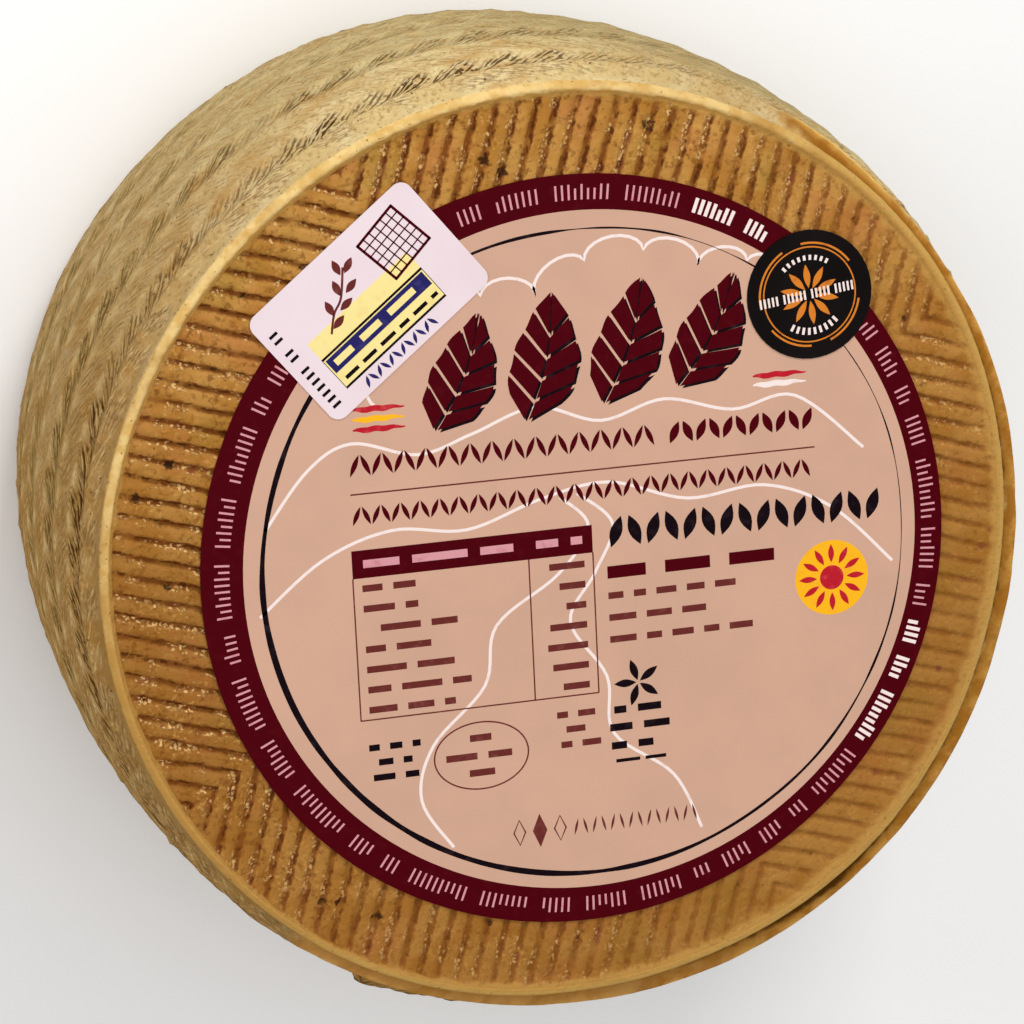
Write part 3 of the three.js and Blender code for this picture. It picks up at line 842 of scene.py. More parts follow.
@dataclass(frozen=True)
class Rim:
    """The smooth lip round each face, the crease below it and the flange, in drops below the face plane."""

    lip_radius: float = 93.0
    lip_width: float = 2.35
    crest_inset: float = 1.1
    flange_radius: float = 96.1
    rise: float = 0.58
    inner_rise: float = 0.36
    edge_drop: float = 0.5
    side_drop: float = 1.8
    crease_drop: float = 3.3
    flange_drop: float = 5.8
    faint_crease: float = 0.3
    deep_crease: float = 2.1
    undercut: float = 0.4
    crease_middle: float = -38
    crease_half_width: float = 105
    crease_fade: float = 22
    shade_and_dirt_middle: float = -28
    shade_and_dirt_half_width: float = 80
    lip_changes: tuple[Swell, ...] = (Swell(-2.6, -22, 42), Swell(-1.0, -80, 25))
    changes: tuple[Swell, ...] = (Swell(-0.8, -8, 40), Swell(-0.85, 33, 13), Swell(0.5, -80, 28))
    narrowings: tuple[Swell, ...] = (Swell(1.0, 232, 34), Swell(0.8, -20, 50), Swell(0.45, 170, 26))
    dark_place: Swell = Swell(0.3, -56, 8)
    pale_towards: float = math.radians(119)
    flange_highlight_place: Swell = Swell(1.0, 52, 12)

    def lip(self, azimuth: np.ndarray) -> np.ndarray:
        """The radius of the lip's outer edge in each direction."""
        return self.lip_radius + sum(change.reach(azimuth) for change in self.lip_changes)

    def foot(self, azimuth: np.ndarray) -> np.ndarray:
        """The radius at which the lip rises from the face."""
        return self.lip(azimuth) - self.lip_width + sum(change.reach(azimuth) for change in self.narrowings)

    def crease_shade_and_dirt(self, azimuth: np.ndarray) -> np.ndarray:
        """How strong the painted shade and dirt in the crease are in each direction."""
        away = np.abs(Swell(0, self.shade_and_dirt_middle, 1).away(azimuth))
        kept = 1 - eased(away, self.shade_and_dirt_half_width - 40, self.shade_and_dirt_half_width)
        return 0.6 * kept + self.dark_place.reach(azimuth)

    def proud(self, azimuth: np.ndarray) -> np.ndarray:
        """How far the lip stands up in each direction, of its full rise."""
        return 0.12 + 0.88 * eased(0.5 + 0.5 * np.cos(azimuth - self.pale_towards), 0.15, 0.75)

    def brown(self, azimuth: np.ndarray) -> np.ndarray:
        """How far the lip has browned, least towards one side of the wheel, from 0 to 1."""
        return 1 - eased(0.5 + 0.5 * np.cos(azimuth - self.pale_towards), 0.54, 1.03)

    def crease(self, azimuth: np.ndarray) -> np.ndarray:
        """The depth of the crease under the upper lip: deep on one side of the wheel, faint on the other."""
        away = np.abs(Swell(0, self.crease_middle, 1).away(azimuth))
        share = eased(away, self.crease_half_width - self.crease_fade, self.crease_half_width)
        return self.deep_crease + (self.faint_crease - self.deep_crease) * share

    def flange(self, azimuth: np.ndarray) -> np.ndarray:
        """The flange's reach in each direction."""
        return self.flange_radius + sum(change.reach(azimuth) for change in self.changes)

    def rings(self, azimuth: np.ndarray, crease: np.ndarray) -> np.ndarray:
        """Radius and drop of the rings that the rim's outline passes through, from the lip's foot outwards."""
        lip, flange = self.lip(azimuth), self.flange(azimuth)
        middle_drop = (self.crease_drop + self.flange_drop) / 2
        creased = eased(crease, self.faint_crease, self.deep_crease)
        shallow = (lip + flange) / 2 - self.faint_crease
        outline = [
            (self.foot(azimuth), 0.0),
            ((self.foot(azimuth) + lip - self.crest_inset) / 2, -self.inner_rise * self.proud(azimuth)),
            (lip - self.crest_inset, -self.rise * self.proud(azimuth)),
            (lip, self.edge_drop),
            (lip + 0.4 - 0.3 * creased, self.side_drop),
            (shallow + (lip - self.undercut - shallow) * creased, self.crease_drop),
            (flange - crease / 4, middle_drop),
            (flange, self.flange_drop),
        ]
        return np.array([[radius, drop * np.ones_like(azimuth)] for radius, drop in outline])


@dataclass(frozen=True)
class PlaitedSide:
    """The barrel side with the imprint of a plaited belt: rows of strands that slant one way, then the other."""

    height: float = 98
    belly_radius: float = 99
    lean: float = 0.5
    lean_towards: float = 62
    flange_drop: float = 5.8
    strands: int = 66
    top: float = 3
    row_height: float = 11
    rows: int = 8
    run: float = 0.75
    relief: float = 0.45
    row_edge_relief: float = 0.25
    fibre_relief: float = 0.16
    row_offset: float = 0.2
    fibre_curl: float = -0.4
    fibre_lay: float = 0.35
    step: Swell = Swell(1.3, 241.5, 9)
    lobes: tuple[tuple[int, float, float], ...] = ((2, 0.3, 0.6), (3, 0.22, 2.1), (5, 0.12, 4.0))
    row_strengths: tuple[float, ...] = (1.0, 0.28, 0.75, 0.15, 0.4, 0.14, 0.45, 0.3)
    brown_towards: float = math.radians(215)
    shade_place: Swell = Swell(0.75, 62, 22)
    dark_place: Swell = Swell(0.4, 180, 18)

    @property
    def strand_angle(self) -> float:
        """The angle that one strand takes up."""
        return FULL_TURN / self.strands

    def out_of_round(self, azimuth: np.ndarray) -> np.ndarray:
        """How far the wheel departs from a true circle."""
        return sum(height * np.cos(count * azimuth + phase) for count, height, phase in self.lobes)

    def radius(self, azimuth: np.ndarray, depth: float, flange: np.ndarray) -> np.ndarray:
        """The side's radius without its imprint, at a depth below the upper face."""
        share = (depth - self.height / 2) / (self.height / 2 - self.flange_drop)
        belly = self.belly_radius + self.lean * np.cos(azimuth - math.radians(self.lean_towards))
        past = self.step.away(azimuth) > 0
        return belly + (flange - belly) * share**2 + np.where(past, self.step.reach(azimuth), 0.0)

    def brown(self, azimuth: np.ndarray, places: np.ndarray) -> np.ndarray:
        """How far the rind has browned, most on one side of the wheel, with painted shade added over one stretch of the
        side, from 0 to 1.
        """
        share = 0.5 + 0.5 * np.cos(azimuth - self.brown_towards)
        patches = 0.9 * self.shade_place.reach(azimuth) + 0.12 * Unevenness(39, 18.0).at(places)
        return np.clip(1.55 * share - 0.34 + patches, 0, 1)

    def dull(self, azimuth: np.ndarray, depth: np.ndarray, places: np.ndarray) -> np.ndarray:
        """How dull and grey the rind is, most low down on its unbrowned side, with painted shade over one stretch of
        the side, from 0 to 1.
        """
        low = 0.6 * (1 - self.brown(azimuth, places)) * eased(depth, 16.0, 40.0)
        return np.clip(low + self.shade_place.reach(azimuth) * eased(depth, 6.0, 18.0), 0, 0.8)

    def clear(self, azimuth: np.ndarray) -> np.ndarray:
        """How clearly the marks show, least in the painted shade over one stretch of the side, from 0 to 1."""
        return 1 - 0.9 * self.shade_place.reach(azimuth)

    def curl(self, depth: float) -> float:
        """How far the fibres at a depth run aside from the strands, in strands."""
        rows = min(max((depth - self.top) / self.row_height, 0.0), float(self.rows))
        return self.fibre_curl * (rows % 1 - 0.5) ** 2 - self.fibre_lay * abs(rows % 2 - 1)

    def turn(self, depth: float) -> float:
        """The sideways run of the strands at a depth: it zigzags from row to row."""
        rows = min(max((depth - self.top) / self.row_height, 0.0), float(self.rows))
        return abs(rows % 2 - 1) * self.run * self.strand_angle

    def imprint(self, strand: np.ndarray, depth: float, places: np.ndarray) -> tuple[np.ndarray, dict[str, np.ndarray]]:
        """Works out the imprint along one ring.

        Args:
            strand: How many strands round each point is.
            depth: The ring's depth below the upper face.
            places: The points before the imprint.

        Returns:
            The imprint's height and the measures there.
        """
        rows = (depth - self.top) / self.row_height
        row = math.floor(rows)
        share = rows - row
        from_edge = 1 - abs(2 * share - 1)
        bulge = np.cos(FULL_TURN * strand)
        dark_row = 1.0 if row % 2 == 0 else 0.0
        start, swing, ramp = (0.2, 0.06, 0.05) if row == 0 else (0.1, 0.16, 0.12)
        patch = np.clip((share - start - swing * (1 - bulge) / 2) / ramp, 0, 1)
        patch = patch * np.clip((1.04 - share - 0.3 * (1 - bulge) / 2) / 0.12, 0, 1)
        azimuth = np.arctan2(places[:, 1], places[:, 0])
        clear = self.clear(azimuth)
        fade = 0.85 + 0.5 * Unevenness(31, 16.0).at(places) + self.dark_place.reach(azimuth)
        aged = np.clip(0.62 + 0.75 * Unevenness(45, 12.0).at(places), 0.15, 1)
        strength = self.row_strengths[min(max(row, 0), self.rows - 1)]
        own = Unevenness(33, 1.0).corner(np.stack([np.round(strand), np.full_like(strand, row), 0 * strand], -1).astype(int))
        height = self.relief * bulge * from_edge * (0.8 + 0.2 * own) + self.row_edge_relief * (1 - from_edge)
        height += self.fibre_relief * np.cos(3 * FULL_TURN * strand + 0.6 * own) * from_edge
        height += self.row_offset * (0.5 - dark_row) * from_edge
        height += 0.22 * Unevenness(35, 9.0).at(places) + 0.1 * Unevenness(37, 2.4).at(places)
        # Painted highlights at the strands' tips, where the rows meet.
        tip_highlights = np.clip(1.6 * abs(0.5 - share) * 2 - 0.9, 0, 1) * np.clip(-bulge, 0, 1) * 0.5
        lobe = patch * np.clip(0.95 + 0.4 * bulge, 0.3, 1)
        mark = clear * strength * (patch if row == 0 else lobe) * np.clip(fade + 0.3 * own, 0, 1)
        browned = self.brown(azimuth, places)
        tone = dark_row * (0.2 if row == 0 else 0.95) * lobe * aged * (0.15 + 0.85 * browned)
        # Painted shadow: a thin dark line along the top of the first row, under the smooth band above it.
        if row == 0:
            tone = np.maximum(tone, 0.6 * browned * aged * np.exp(-(((share - 0.24) / 0.045) ** 2)))
        weft = eased(np.full_like(strand, depth), 2.2, 5.8)
        shown = {"row": tone * weft, "mark": mark * weft, "tip_highlight": np.clip(tip_highlights * fade, 0, 1) * weft, "weft": weft}
        return height, shown


@dataclass(frozen=True)
class Wheel:
    """The whole cheese: two pressed faces, their rims and the side, in one closed mesh."""

    shift: np.ndarray
    box: tuple[Vector, Vector]
    height: float = 98
    columns: int = 594
    face: PressedFace = PressedFace()
    rim: Rim = Rim()
    side: PlaitedSide = PlaitedSide()
    fine_offsets: tuple[float, ...] = (-1.35, -0.8, -0.35, 0.35, 0.8, 1.35)
    plain_offsets: tuple[float, ...] = (-0.75, 0.0, 0.75)
    hidden_offsets: tuple[float, ...] = (0.0,)
    hidden_radius: float = 70
    brim_gap: float = 0.8
    brim_shares: tuple[float, ...] = (0.0, 0.18, 0.36, 0.54, 0.72, 0.88)
    lower_brim_shares: tuple[float, ...] = (0.9, 0.6, 0.3, 0.0)
    upper_stations: tuple[float, ...] = (
        0, 0.5, 1, 1.5, 2, 2.4, 2.7, 3, 3.4, 3.8, 4.3, 4.7, 5, 5.15, 5.3, 5.45, 5.65, 6, 6.35, 6.7, 7,
    )
    lower_stations: tuple[float, ...] = (7, 6, 5, 4, 3, 2.5, 2, 1, 0)
    side_steps: int = 64
    measures: tuple[str, ...] = (
        "grooved", "sharp", "spot", "rim", "crease", "flange", "edge_highlight", "side", "brown", "dull", "scuffed",
        "weft", "row", "mark", "tip_highlight",
    )

    def between(self, rings: np.ndarray, station: float) -> np.ndarray:
        """A smooth curve's point between the outline's rings."""
        last = len(rings) - 1
        number = min(int(station), last - 1)
        share = station - number
        before, here, after, beyond = (rings[min(max(number + step, 0), last)] for step in (-1, 0, 1, 2))
        slope_here, slope_after = (after - before) / 2, (beyond - here) / 2
        square, cube = share**2, share**3
        return (
            (2 * cube - 3 * square + 1) * here
            + (cube - 2 * square + share) * slope_here
            + (3 * square - 2 * cube) * after
            + (cube - square) * slope_after
        )

    def rim_ring(self, strand: np.ndarray, station: float, upper: bool) -> tuple[np.ndarray, dict[str, np.ndarray]]:
        """Points and measures of one ring of a rim."""
        plain = strand * self.side.strand_angle
        crease = self.rim.crease(plain) if upper else np.full_like(plain, self.rim.faint_crease)
        rings = self.rim.rings(plain, crease)
        flange = self.rim.flange(plain)
        next_depth = self.rim.flange_drop + 2.7
        next_ring = np.array([self.side.radius(plain, next_depth, flange), np.full_like(plain, next_depth)])
        radius, drop = self.between(np.concatenate([rings, next_ring[None]]), station)
        depth = drop if upper else self.height - drop
        azimuth = plain + self.side.turn(float(depth.mean()))
        radius = radius + self.side.out_of_round(azimuth)
        level = self.height - drop if upper else np.maximum(drop, 0.0)
        ring = np.stack([radius * np.cos(azimuth), radius * np.sin(azimuth), level], -1)
        dents = 0.14 * Unevenness(41, 13.0).at(ring) + 0.06 * Unevenness(42, 2.0).at(ring)
        dents = dents + 0.16 * Unevenness(43, 6.0).at(ring) * eased(np.full_like(plain, station), 4.4, 6.0)
        at = np.full_like(plain, station)
        firm = eased(at, 2.2, 3.2)
        creased = eased(crease, self.rim.faint_crease, self.rim.deep_crease)
        imprint, shown = self.side.imprint(strand, float(drop.mean()), ring)
        woven = (1 - creased) * eased(drop, 3.0, 6.0)
        ring[:, :2] *= (1 + (dents * firm + imprint * woven) / radius)[:, None]
        ring[:, 2] -= (1 - firm) * eased(at, 0.0, 1.6) * np.abs(dents) * (1 if upper else 0)
        shown = {name: value * (1 - creased) for name, value in shown.items()}
        browned = self.side.brown(azimuth, ring)
        smooth = creased * (1 - eased(at, 6.6, 7.4)) + (1 - creased) * (1 - eased(at, 2.7, 3.6))
        outer = eased(at, 2.7, 3.6)
        # Painted shade: a thin dark line just below the lip's edge, carried in the crease measure.
        seam = 0.42 * (1 - creased) * np.exp(-(((at - 3.2) / 0.3) ** 2))
        # Painted highlight along the lip's outer edge where the crease is deep.
        edge = 0.24 * eased(at, 2.0, 2.5) * (1 - eased(at, 2.8, 3.2)) * creased
        wide = 0.5 * self.rim.dark_place.reach(azimuth)
        shown |= {
            "rim": eased(at, 0.0, 1.9) * smooth,
            "crease": (eased(at, 3.9, 4.5) - eased(at - wide, 5.35, 5.75)) * self.rim.crease_shade_and_dirt(azimuth) + seam,
            "flange": eased(at, 4.7, 7.0) * creased,
            "edge_highlight": eased(at, 5.9, 6.35) * (1 - eased(at, 6.7, 7)) * self.rim.flange_highlight_place.reach(azimuth) + edge,
            "scuffed": self.side.clear(azimuth) * (1 - creased) * eased(drop, 1.6, 3.2) * (1 - eased(drop, 5.0, 7.5)),
            "side": eased(at, 2.0, 2.6),
            "dull": self.side.dull(azimuth, depth, ring),
            "brown": (1 - outer) * self.rim.brown(azimuth) + outer * browned,
        }
        return ring, shown

    def brim_ring(
        self, strand: np.ndarray, share: float, upper: bool
    ) -> tuple[np.ndarray, np.ndarray, dict[str, np.ndarray]]:
        """Points, surface coordinates and measures of one ring of a face between its grid and the lip's foot."""
        azimuth = strand * self.side.strand_angle + self.side.turn(0.0)
        foot = self.rim.foot(azimuth) + self.side.out_of_round(azimuth)
        inner = self.face.grid_radius + self.brim_gap
        radius = inner + (foot - inner) * share
        mirror = np.array([1, 1, 1]) if upper else np.array([1, -1, -1])
        flat = np.stack([radius * np.cos(azimuth), radius * np.sin(azimuth), 0 * radius], -1) * mirror
        ring, shown = self.face.surface(flat, (self.upper_ends if upper else self.lower_ends)(azimuth))
        return ring * mirror + np.array([0, 0, self.height if upper else 0]), self.face.weave(flat), shown

    def upper_ends(self, azimuth: np.ndarray) -> np.ndarray:
        """The radius at which the upper face's grooves end, a little way up the lip."""
        return self.rim.foot(azimuth) + self.side.out_of_round(azimuth) + 0.3

    def lower_ends(self, azimuth: np.ndarray) -> np.ndarray:
        """The radius at which the lower face's grooves end."""
        return np.full_like(azimuth, self.face.grid_radius + 2.6)

    def side_ring(self, strand: np.ndarray, depth: float) -> tuple[np.ndarray, dict[str, np.ndarray]]:
        """Points and measures of one ring of the side."""
        plain = strand * self.side.strand_angle
        azimuth = plain + self.side.turn(depth)
        radius = self.side.radius(azimuth, depth, self.rim.flange(azimuth)) + self.side.out_of_round(azimuth)
        ring = np.stack([radius * np.cos(azimuth), radius * np.sin(azimuth), np.full_like(radius, self.height - depth)], -1)
        imprint, shown = self.side.imprint(strand, depth, ring)
        start = eased(np.full_like(plain, depth), 5.0, 8.0) * eased(np.full_like(plain, self.height - depth), 5.0, 8.0)
        ring[:, :2] *= (1 + imprint * start / radius)[:, None]
        shown["side"] = np.ones_like(plain)
        shown["brown"] = self.side.brown(azimuth, ring)
        shown["dull"] = self.side.dull(azimuth, np.full_like(plain, depth), ring)
        return ring, shown

    def rings(self, strand: np.ndarray) -> list[tuple[np.ndarray, dict[str, np.ndarray]]]:
        """All rings from the upper lip's foot down to the lower one's."""
        made = [self.rim_ring(strand, station, True) for station in self.upper_stations]
        first, last = self.rim.flange_drop + 1.4, self.height - self.rim.flange_drop - 1.4
        made += [self.side_ring(strand, depth) for depth in np.linspace(first, last, self.side_steps)]
        return made + [self.rim_ring(strand, station, False) for station in self.lower_stations]

    def build(self) -> bpy.types.Object:
        """Builds the cheese."""
        skin = Skin(self.measures)
        strand = np.arange(self.columns) * self.side.strands / self.columns
        strand = strand + round(self.side.step.at / 360 * self.columns) * self.side.strands / self.columns
        reach, top, ends = self.face.grid_radius, self.height, self.upper_ends
        _, middle = self.face.weave_grid(skin, self.hidden_offsets, 0, self.hidden_radius, top, True, ends)
        grid = self.face.weave_grid(skin, self.fine_offsets, self.hidden_radius + 1.5, reach, top, True, ends)
        zip_loops(skin, middle, grid[0], True)
        starts, weaves = [], []
        for share in self.brim_shares:
            ring, weave, shown = self.brim_ring(strand, share, True)
            weaves.append(weave)
            starts.append(skin.add(ring, weave, **shown))
        down, before = 0.0, None
        for ring, shown in self.rings(strand):
            depth = self.height - float(ring[:, 2].mean())
            down += 0.0 if before is None else float(np.hypot(*np.diff([before, self.outline(ring)], axis=0)[0]))
            before = self.outline(ring)
            weaves.append(np.stack([strand + self.side.curl(depth), np.full_like(strand, down / self.strand_width)], -1))
            starts.append(skin.add(ring, weaves[-1], **shown))
        for share in self.lower_brim_shares:
            ring, weave, shown = self.brim_ring(strand, share, False)
            weaves.append(weave)
            starts.append(skin.add(ring, weave, **shown))
        zip_loops(skin, grid[1], list(range(starts[0], starts[0] + self.columns)), True)
        self.close_sides(skin, starts, weaves)
        _, under = self.face.weave_grid(skin, self.plain_offsets, 0, reach, 0.0, False, self.lower_ends)
        zip_loops(skin, under, list(range(starts[-1], starts[-1] + self.columns)), False)
        self.keep_in_box(skin)
        return skin.piece("cheese_wheel", self.shift)

    @property
    def strand_width(self) -> float:
        """How wide a strand is at the belly."""
        return FULL_TURN * self.side.belly_radius / self.side.strands

    def outline(self, ring: np.ndarray) -> np.ndarray:
        """The mean radius and height of a ring."""
        return np.array([np.hypot(ring[:, 0], ring[:, 1]).mean(), ring[:, 2].mean()])

    def close_sides(self, skin: Skin, starts: list[int], weaves: list[np.ndarray]) -> None:
        """Adds the faces between the rings, with the weave's coordinates carried on across the seam."""
        last = self.columns - 1
        first_strand, end_strand = len(self.brim_shares), len(starts) - len(self.lower_brim_shares) - 1
        for number, (upper, lower) in enumerate(zip(starts, starts[1:])):
            for column in range(last):
                skin.face([upper + column, lower + column, lower + column + 1, upper + column + 1])
            around = (self.side.strands if first_strand <= number < end_strand else 0, 0)
            (top, top_first), (bottom, bottom_first) = ((w[last], w[0] + around) for w in weaves[number : number + 2])
            skin.face([upper + last, lower + last, lower, upper], [top, bottom, bottom_first, top_first])

    def keep_in_box(self, skin: Skin) -> None:
        """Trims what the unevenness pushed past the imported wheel's box."""
        low, high = (np.array(corner) / MM - self.shift for corner in self.box)
        skin.points = [np.clip(points, low, high) for points in skin.points]


def circle(x: float, y: float, radius: float, sides: int, start: float = 0.0, turn: float = FULL_TURN) -> list[Point]:
    """Points round a circle or an arc, anticlockwise.

    Args:
        x: The middle's place across.
        y: The middle's place up.
        radius: The circle's radius.
        sides: How many steps the arc has.
        start: The first point's direction.
        turn: How far round the arc goes, the whole circle unless given.

    Returns:
        The points. A whole circle doesn't repeat its first.
    """
    steps = range(sides if turn == FULL_TURN else sides + 1)
    angles = [start + turn * step / sides for step in steps]
    return [(x + radius * math.cos(angle), y + radius * math.sin(angle)) for angle in angles]


def flowing(points: Sequence[Point], steps: int = 8) -> list[Point]:
    """A smooth line through a few points.

    Args:
        points: What the line passes through.
        steps: How many points it has from each of these to the next.

    Returns:
        The line's points.
    """
    knots = np.array([points[0], *points, points[-1]], dtype=float)
    line = []
    for before, here, after, beyond in zip(knots, knots[1:], knots[2:], knots[3:]):
        for step in range(steps):
            share = step / steps
            square, cube = share**2, share**3
            bend = (2 * before - 5 * here + 4 * after - beyond) * square + (3 * (here - after) + beyond - before) * cube
            line.append(tuple((2 * here + (after - before) * share + bend) / 2))
    return [*line, tuple(points[-1])]


def grain(x: float, y: float, length: float, width: float, slant: float, steps: int = 7) -> list[Point]:
    """The outline of a pointed grain.

    Args:
        x: The middle's place across.
        y: The middle's place up.
        length: From point to point.
        width: Across the middle.
        slant: How far it leans from upright, anticlockwise, in degrees.
        steps: How many steps each side has.

    Returns:
        The outline, anticlockwise.
    """
    lean = math.radians(slant)
    outline = []
    for side in (1, -1):
        for step in range(steps):
            share = step / steps
            along, across = side * length * (0.5 - share), -side * width / 2 * math.sin(math.pi * share)
            outline.append((x - along * math.sin(lean) - across * math.cos(lean) * -1, y + along * math.cos(lean) + across * math.sin(lean)))
    return outline[::-1]


@dataclass
class Print:
    """The printed shapes of one ink on one paper, each a very thin slab.

    Attributes:
        name: The piece's name.
        colour: The ink.
        rise: How far the ink stands above the paper, more where it covers another ink.
    """

    name: str
    colour: Spread
    rise: float
    sunk: float = 0.02
    points: list[tuple[float, float, float]] = field(default_factory=list)
    faces: list[list[int]] = field(default_factory=list)

    def blot(self, outline: Iterable[Point]) -> None:
        """Prints a filled shape with that outline, anticlockwise."""
        edge = list(outline)
        first, count = len(self.points), len(edge)
        self.points += [(x, y, self.rise) for x, y in edge]
        self.points += [(x, y, -self.sunk) for x, y in edge]
        top = [first + number for number in range(count)]
        self.faces.append(top)
        self.faces.append([number + count for number in reversed(top)])
        for here, after in zip(top, top[1:] + top[:1]):
            self.faces.append([after, here, here + count, after + count])

    def band(self, left: Sequence[Point], right: Sequence[Point], closed: bool = False) -> None:
        """Prints a strip between two lines with as many points each, left on the left of the way along."""
        first, count = len(self.points), len(left)
        for (ax, ay), (bx, by) in zip(left, right):
            self.points += [(ax, ay, self.rise), (bx, by, self.rise), (bx, by, -self.sunk), (ax, ay, -self.sunk)]
        for number in range(count if closed else count - 1):
            here, after = first + 4 * number, first + 4 * ((number + 1) % count)
            for side in range(4):
                turn = (side + 1) % 4
                self.faces.append([here + side, here + turn, after + turn, after + side])
        if not closed:
            last = first + 4 * (count - 1)
            self.faces.append([first + 3, first + 2, first + 1, first])
            self.faces.append([last, last + 1, last + 2, last + 3])

    def stroke(self, path: Sequence[Point], width: float | Sequence[float], closed: bool = False) -> None:
        """Prints a line of a given width, or of a width for each of its points."""
        line = np.array(path, dtype=float)
        before, after = np.roll(line, 1, axis=0), np.roll(line, -1, axis=0)
        if not closed:
            before[0], after[-1] = line[0], line[-1]
        way = after - before
        way /= np.maximum(np.hypot(way[:, 0], way[:, 1]), 1e-9)[:, None]
        half = np.broadcast_to(np.array(width, dtype=float), (len(line),))[:, None] / 2
        aside = np.stack([-way[:, 1], way[:, 0]], -1) * half
        self.band([tuple(point) for point in line + aside], [tuple(point) for point in line - aside], closed)

    def bar(self, x: float, y: float, length: float, height: float) -> None:
        """Prints a plain upright box from its lower left corner."""
        self.blot([(x, y), (x + length, y), (x + length, y + height), (x, y + height)])

    def ring(self, x: float, y: float, radius: float, width: float, sides: int = 64) -> None:
        """Prints a circle's line."""
        self.stroke(circle(x, y, radius, sides), width, closed=True)

    def dashes(self, start: Point, end: float, height: float, draw: random.Random, longest: float = 8.0) -> None:
        """Prints a level row of dashes.

        Args:
            start: The lower left corner of the first.
            end: How far across the row goes.
            height: How high each dash is.
            draw: What draws their lengths.
            longest: The longest dash.
        """
        x, y = start
        while x < end - height:
            length = min(draw.uniform(0.35, 1.0) * longest, end - x)
            self.bar(x, y, length, height)
            x += length + 1.6 * height

    def plait(self, start: Point, end: float, height: float, width: float, pitch: float, lean: float = 24.0) -> None:
        """Prints a level row of upright grains that lean one way and then the other.

        Args:
            start: The lower left corner of the row.
            end: How far across the row goes.
            height: How high the row is.
            width: How wide a grain is.
            pitch: From one grain's middle to the next one's.
            lean: How far each leans, in degrees.
        """
        length = height / math.cos(math.radians(lean))
        count = int((end - start[0]) / pitch)
        for number in range(count):
            middle = start[0] + (number + 0.5) * pitch
            self.blot(grain(middle, start[1] + height / 2, length, width, lean if number % 2 else -lean))

    def piece(self, place: Matrix) -> bpy.types.Object:
        """Makes the printed piece at a place in the frame."""
        mesh = bpy.data.meshes.new(self.name)
        mesh.from_pydata([place @ (Vector(point) * MM) for point in self.points], [], self.faces)
        mesh.materials.append(self.colour.value.material())
        made = bpy.data.objects.new(self.name, mesh)
        bpy.context.scene.collection.objects.link(made)
        return made


@dataclass
class PrintedPaper:
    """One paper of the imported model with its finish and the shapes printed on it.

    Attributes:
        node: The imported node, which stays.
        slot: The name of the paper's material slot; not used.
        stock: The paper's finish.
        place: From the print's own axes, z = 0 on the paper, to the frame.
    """

    node: str
    slot: str
    stock: Paper
    place: Matrix
    seed: int = 11
    inks: dict[tuple[Spread, int], Print] = field(default_factory=dict)

    def ink(self, colour: Spread, layer: int = 1) -> Print:
        """The print of one ink in one layer, started when it is first asked for."""
        if (colour, layer) not in self.inks:
            name = f"{self.node}_{colour.name.lower()}_{layer}"
            self.inks[colour, layer] = Print(name, colour, 0.012 * layer)
        return self.inks[colour, layer]

    def draw(self) -> None:
        """Draws the paper's print: nothing on plain paper."""

    def build(self) -> None:
        """Dresses the paper and makes its printed pieces."""
        material = self.stock.material()
        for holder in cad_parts[self.node].material_slots:
            holder.material = material
        self.draw()
        for printed in self.inks.values():
            piece = printed.piece(self.place)
            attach(piece, "root")
            log.info("%s: %d faces", piece.name, len(piece.data.polygons))


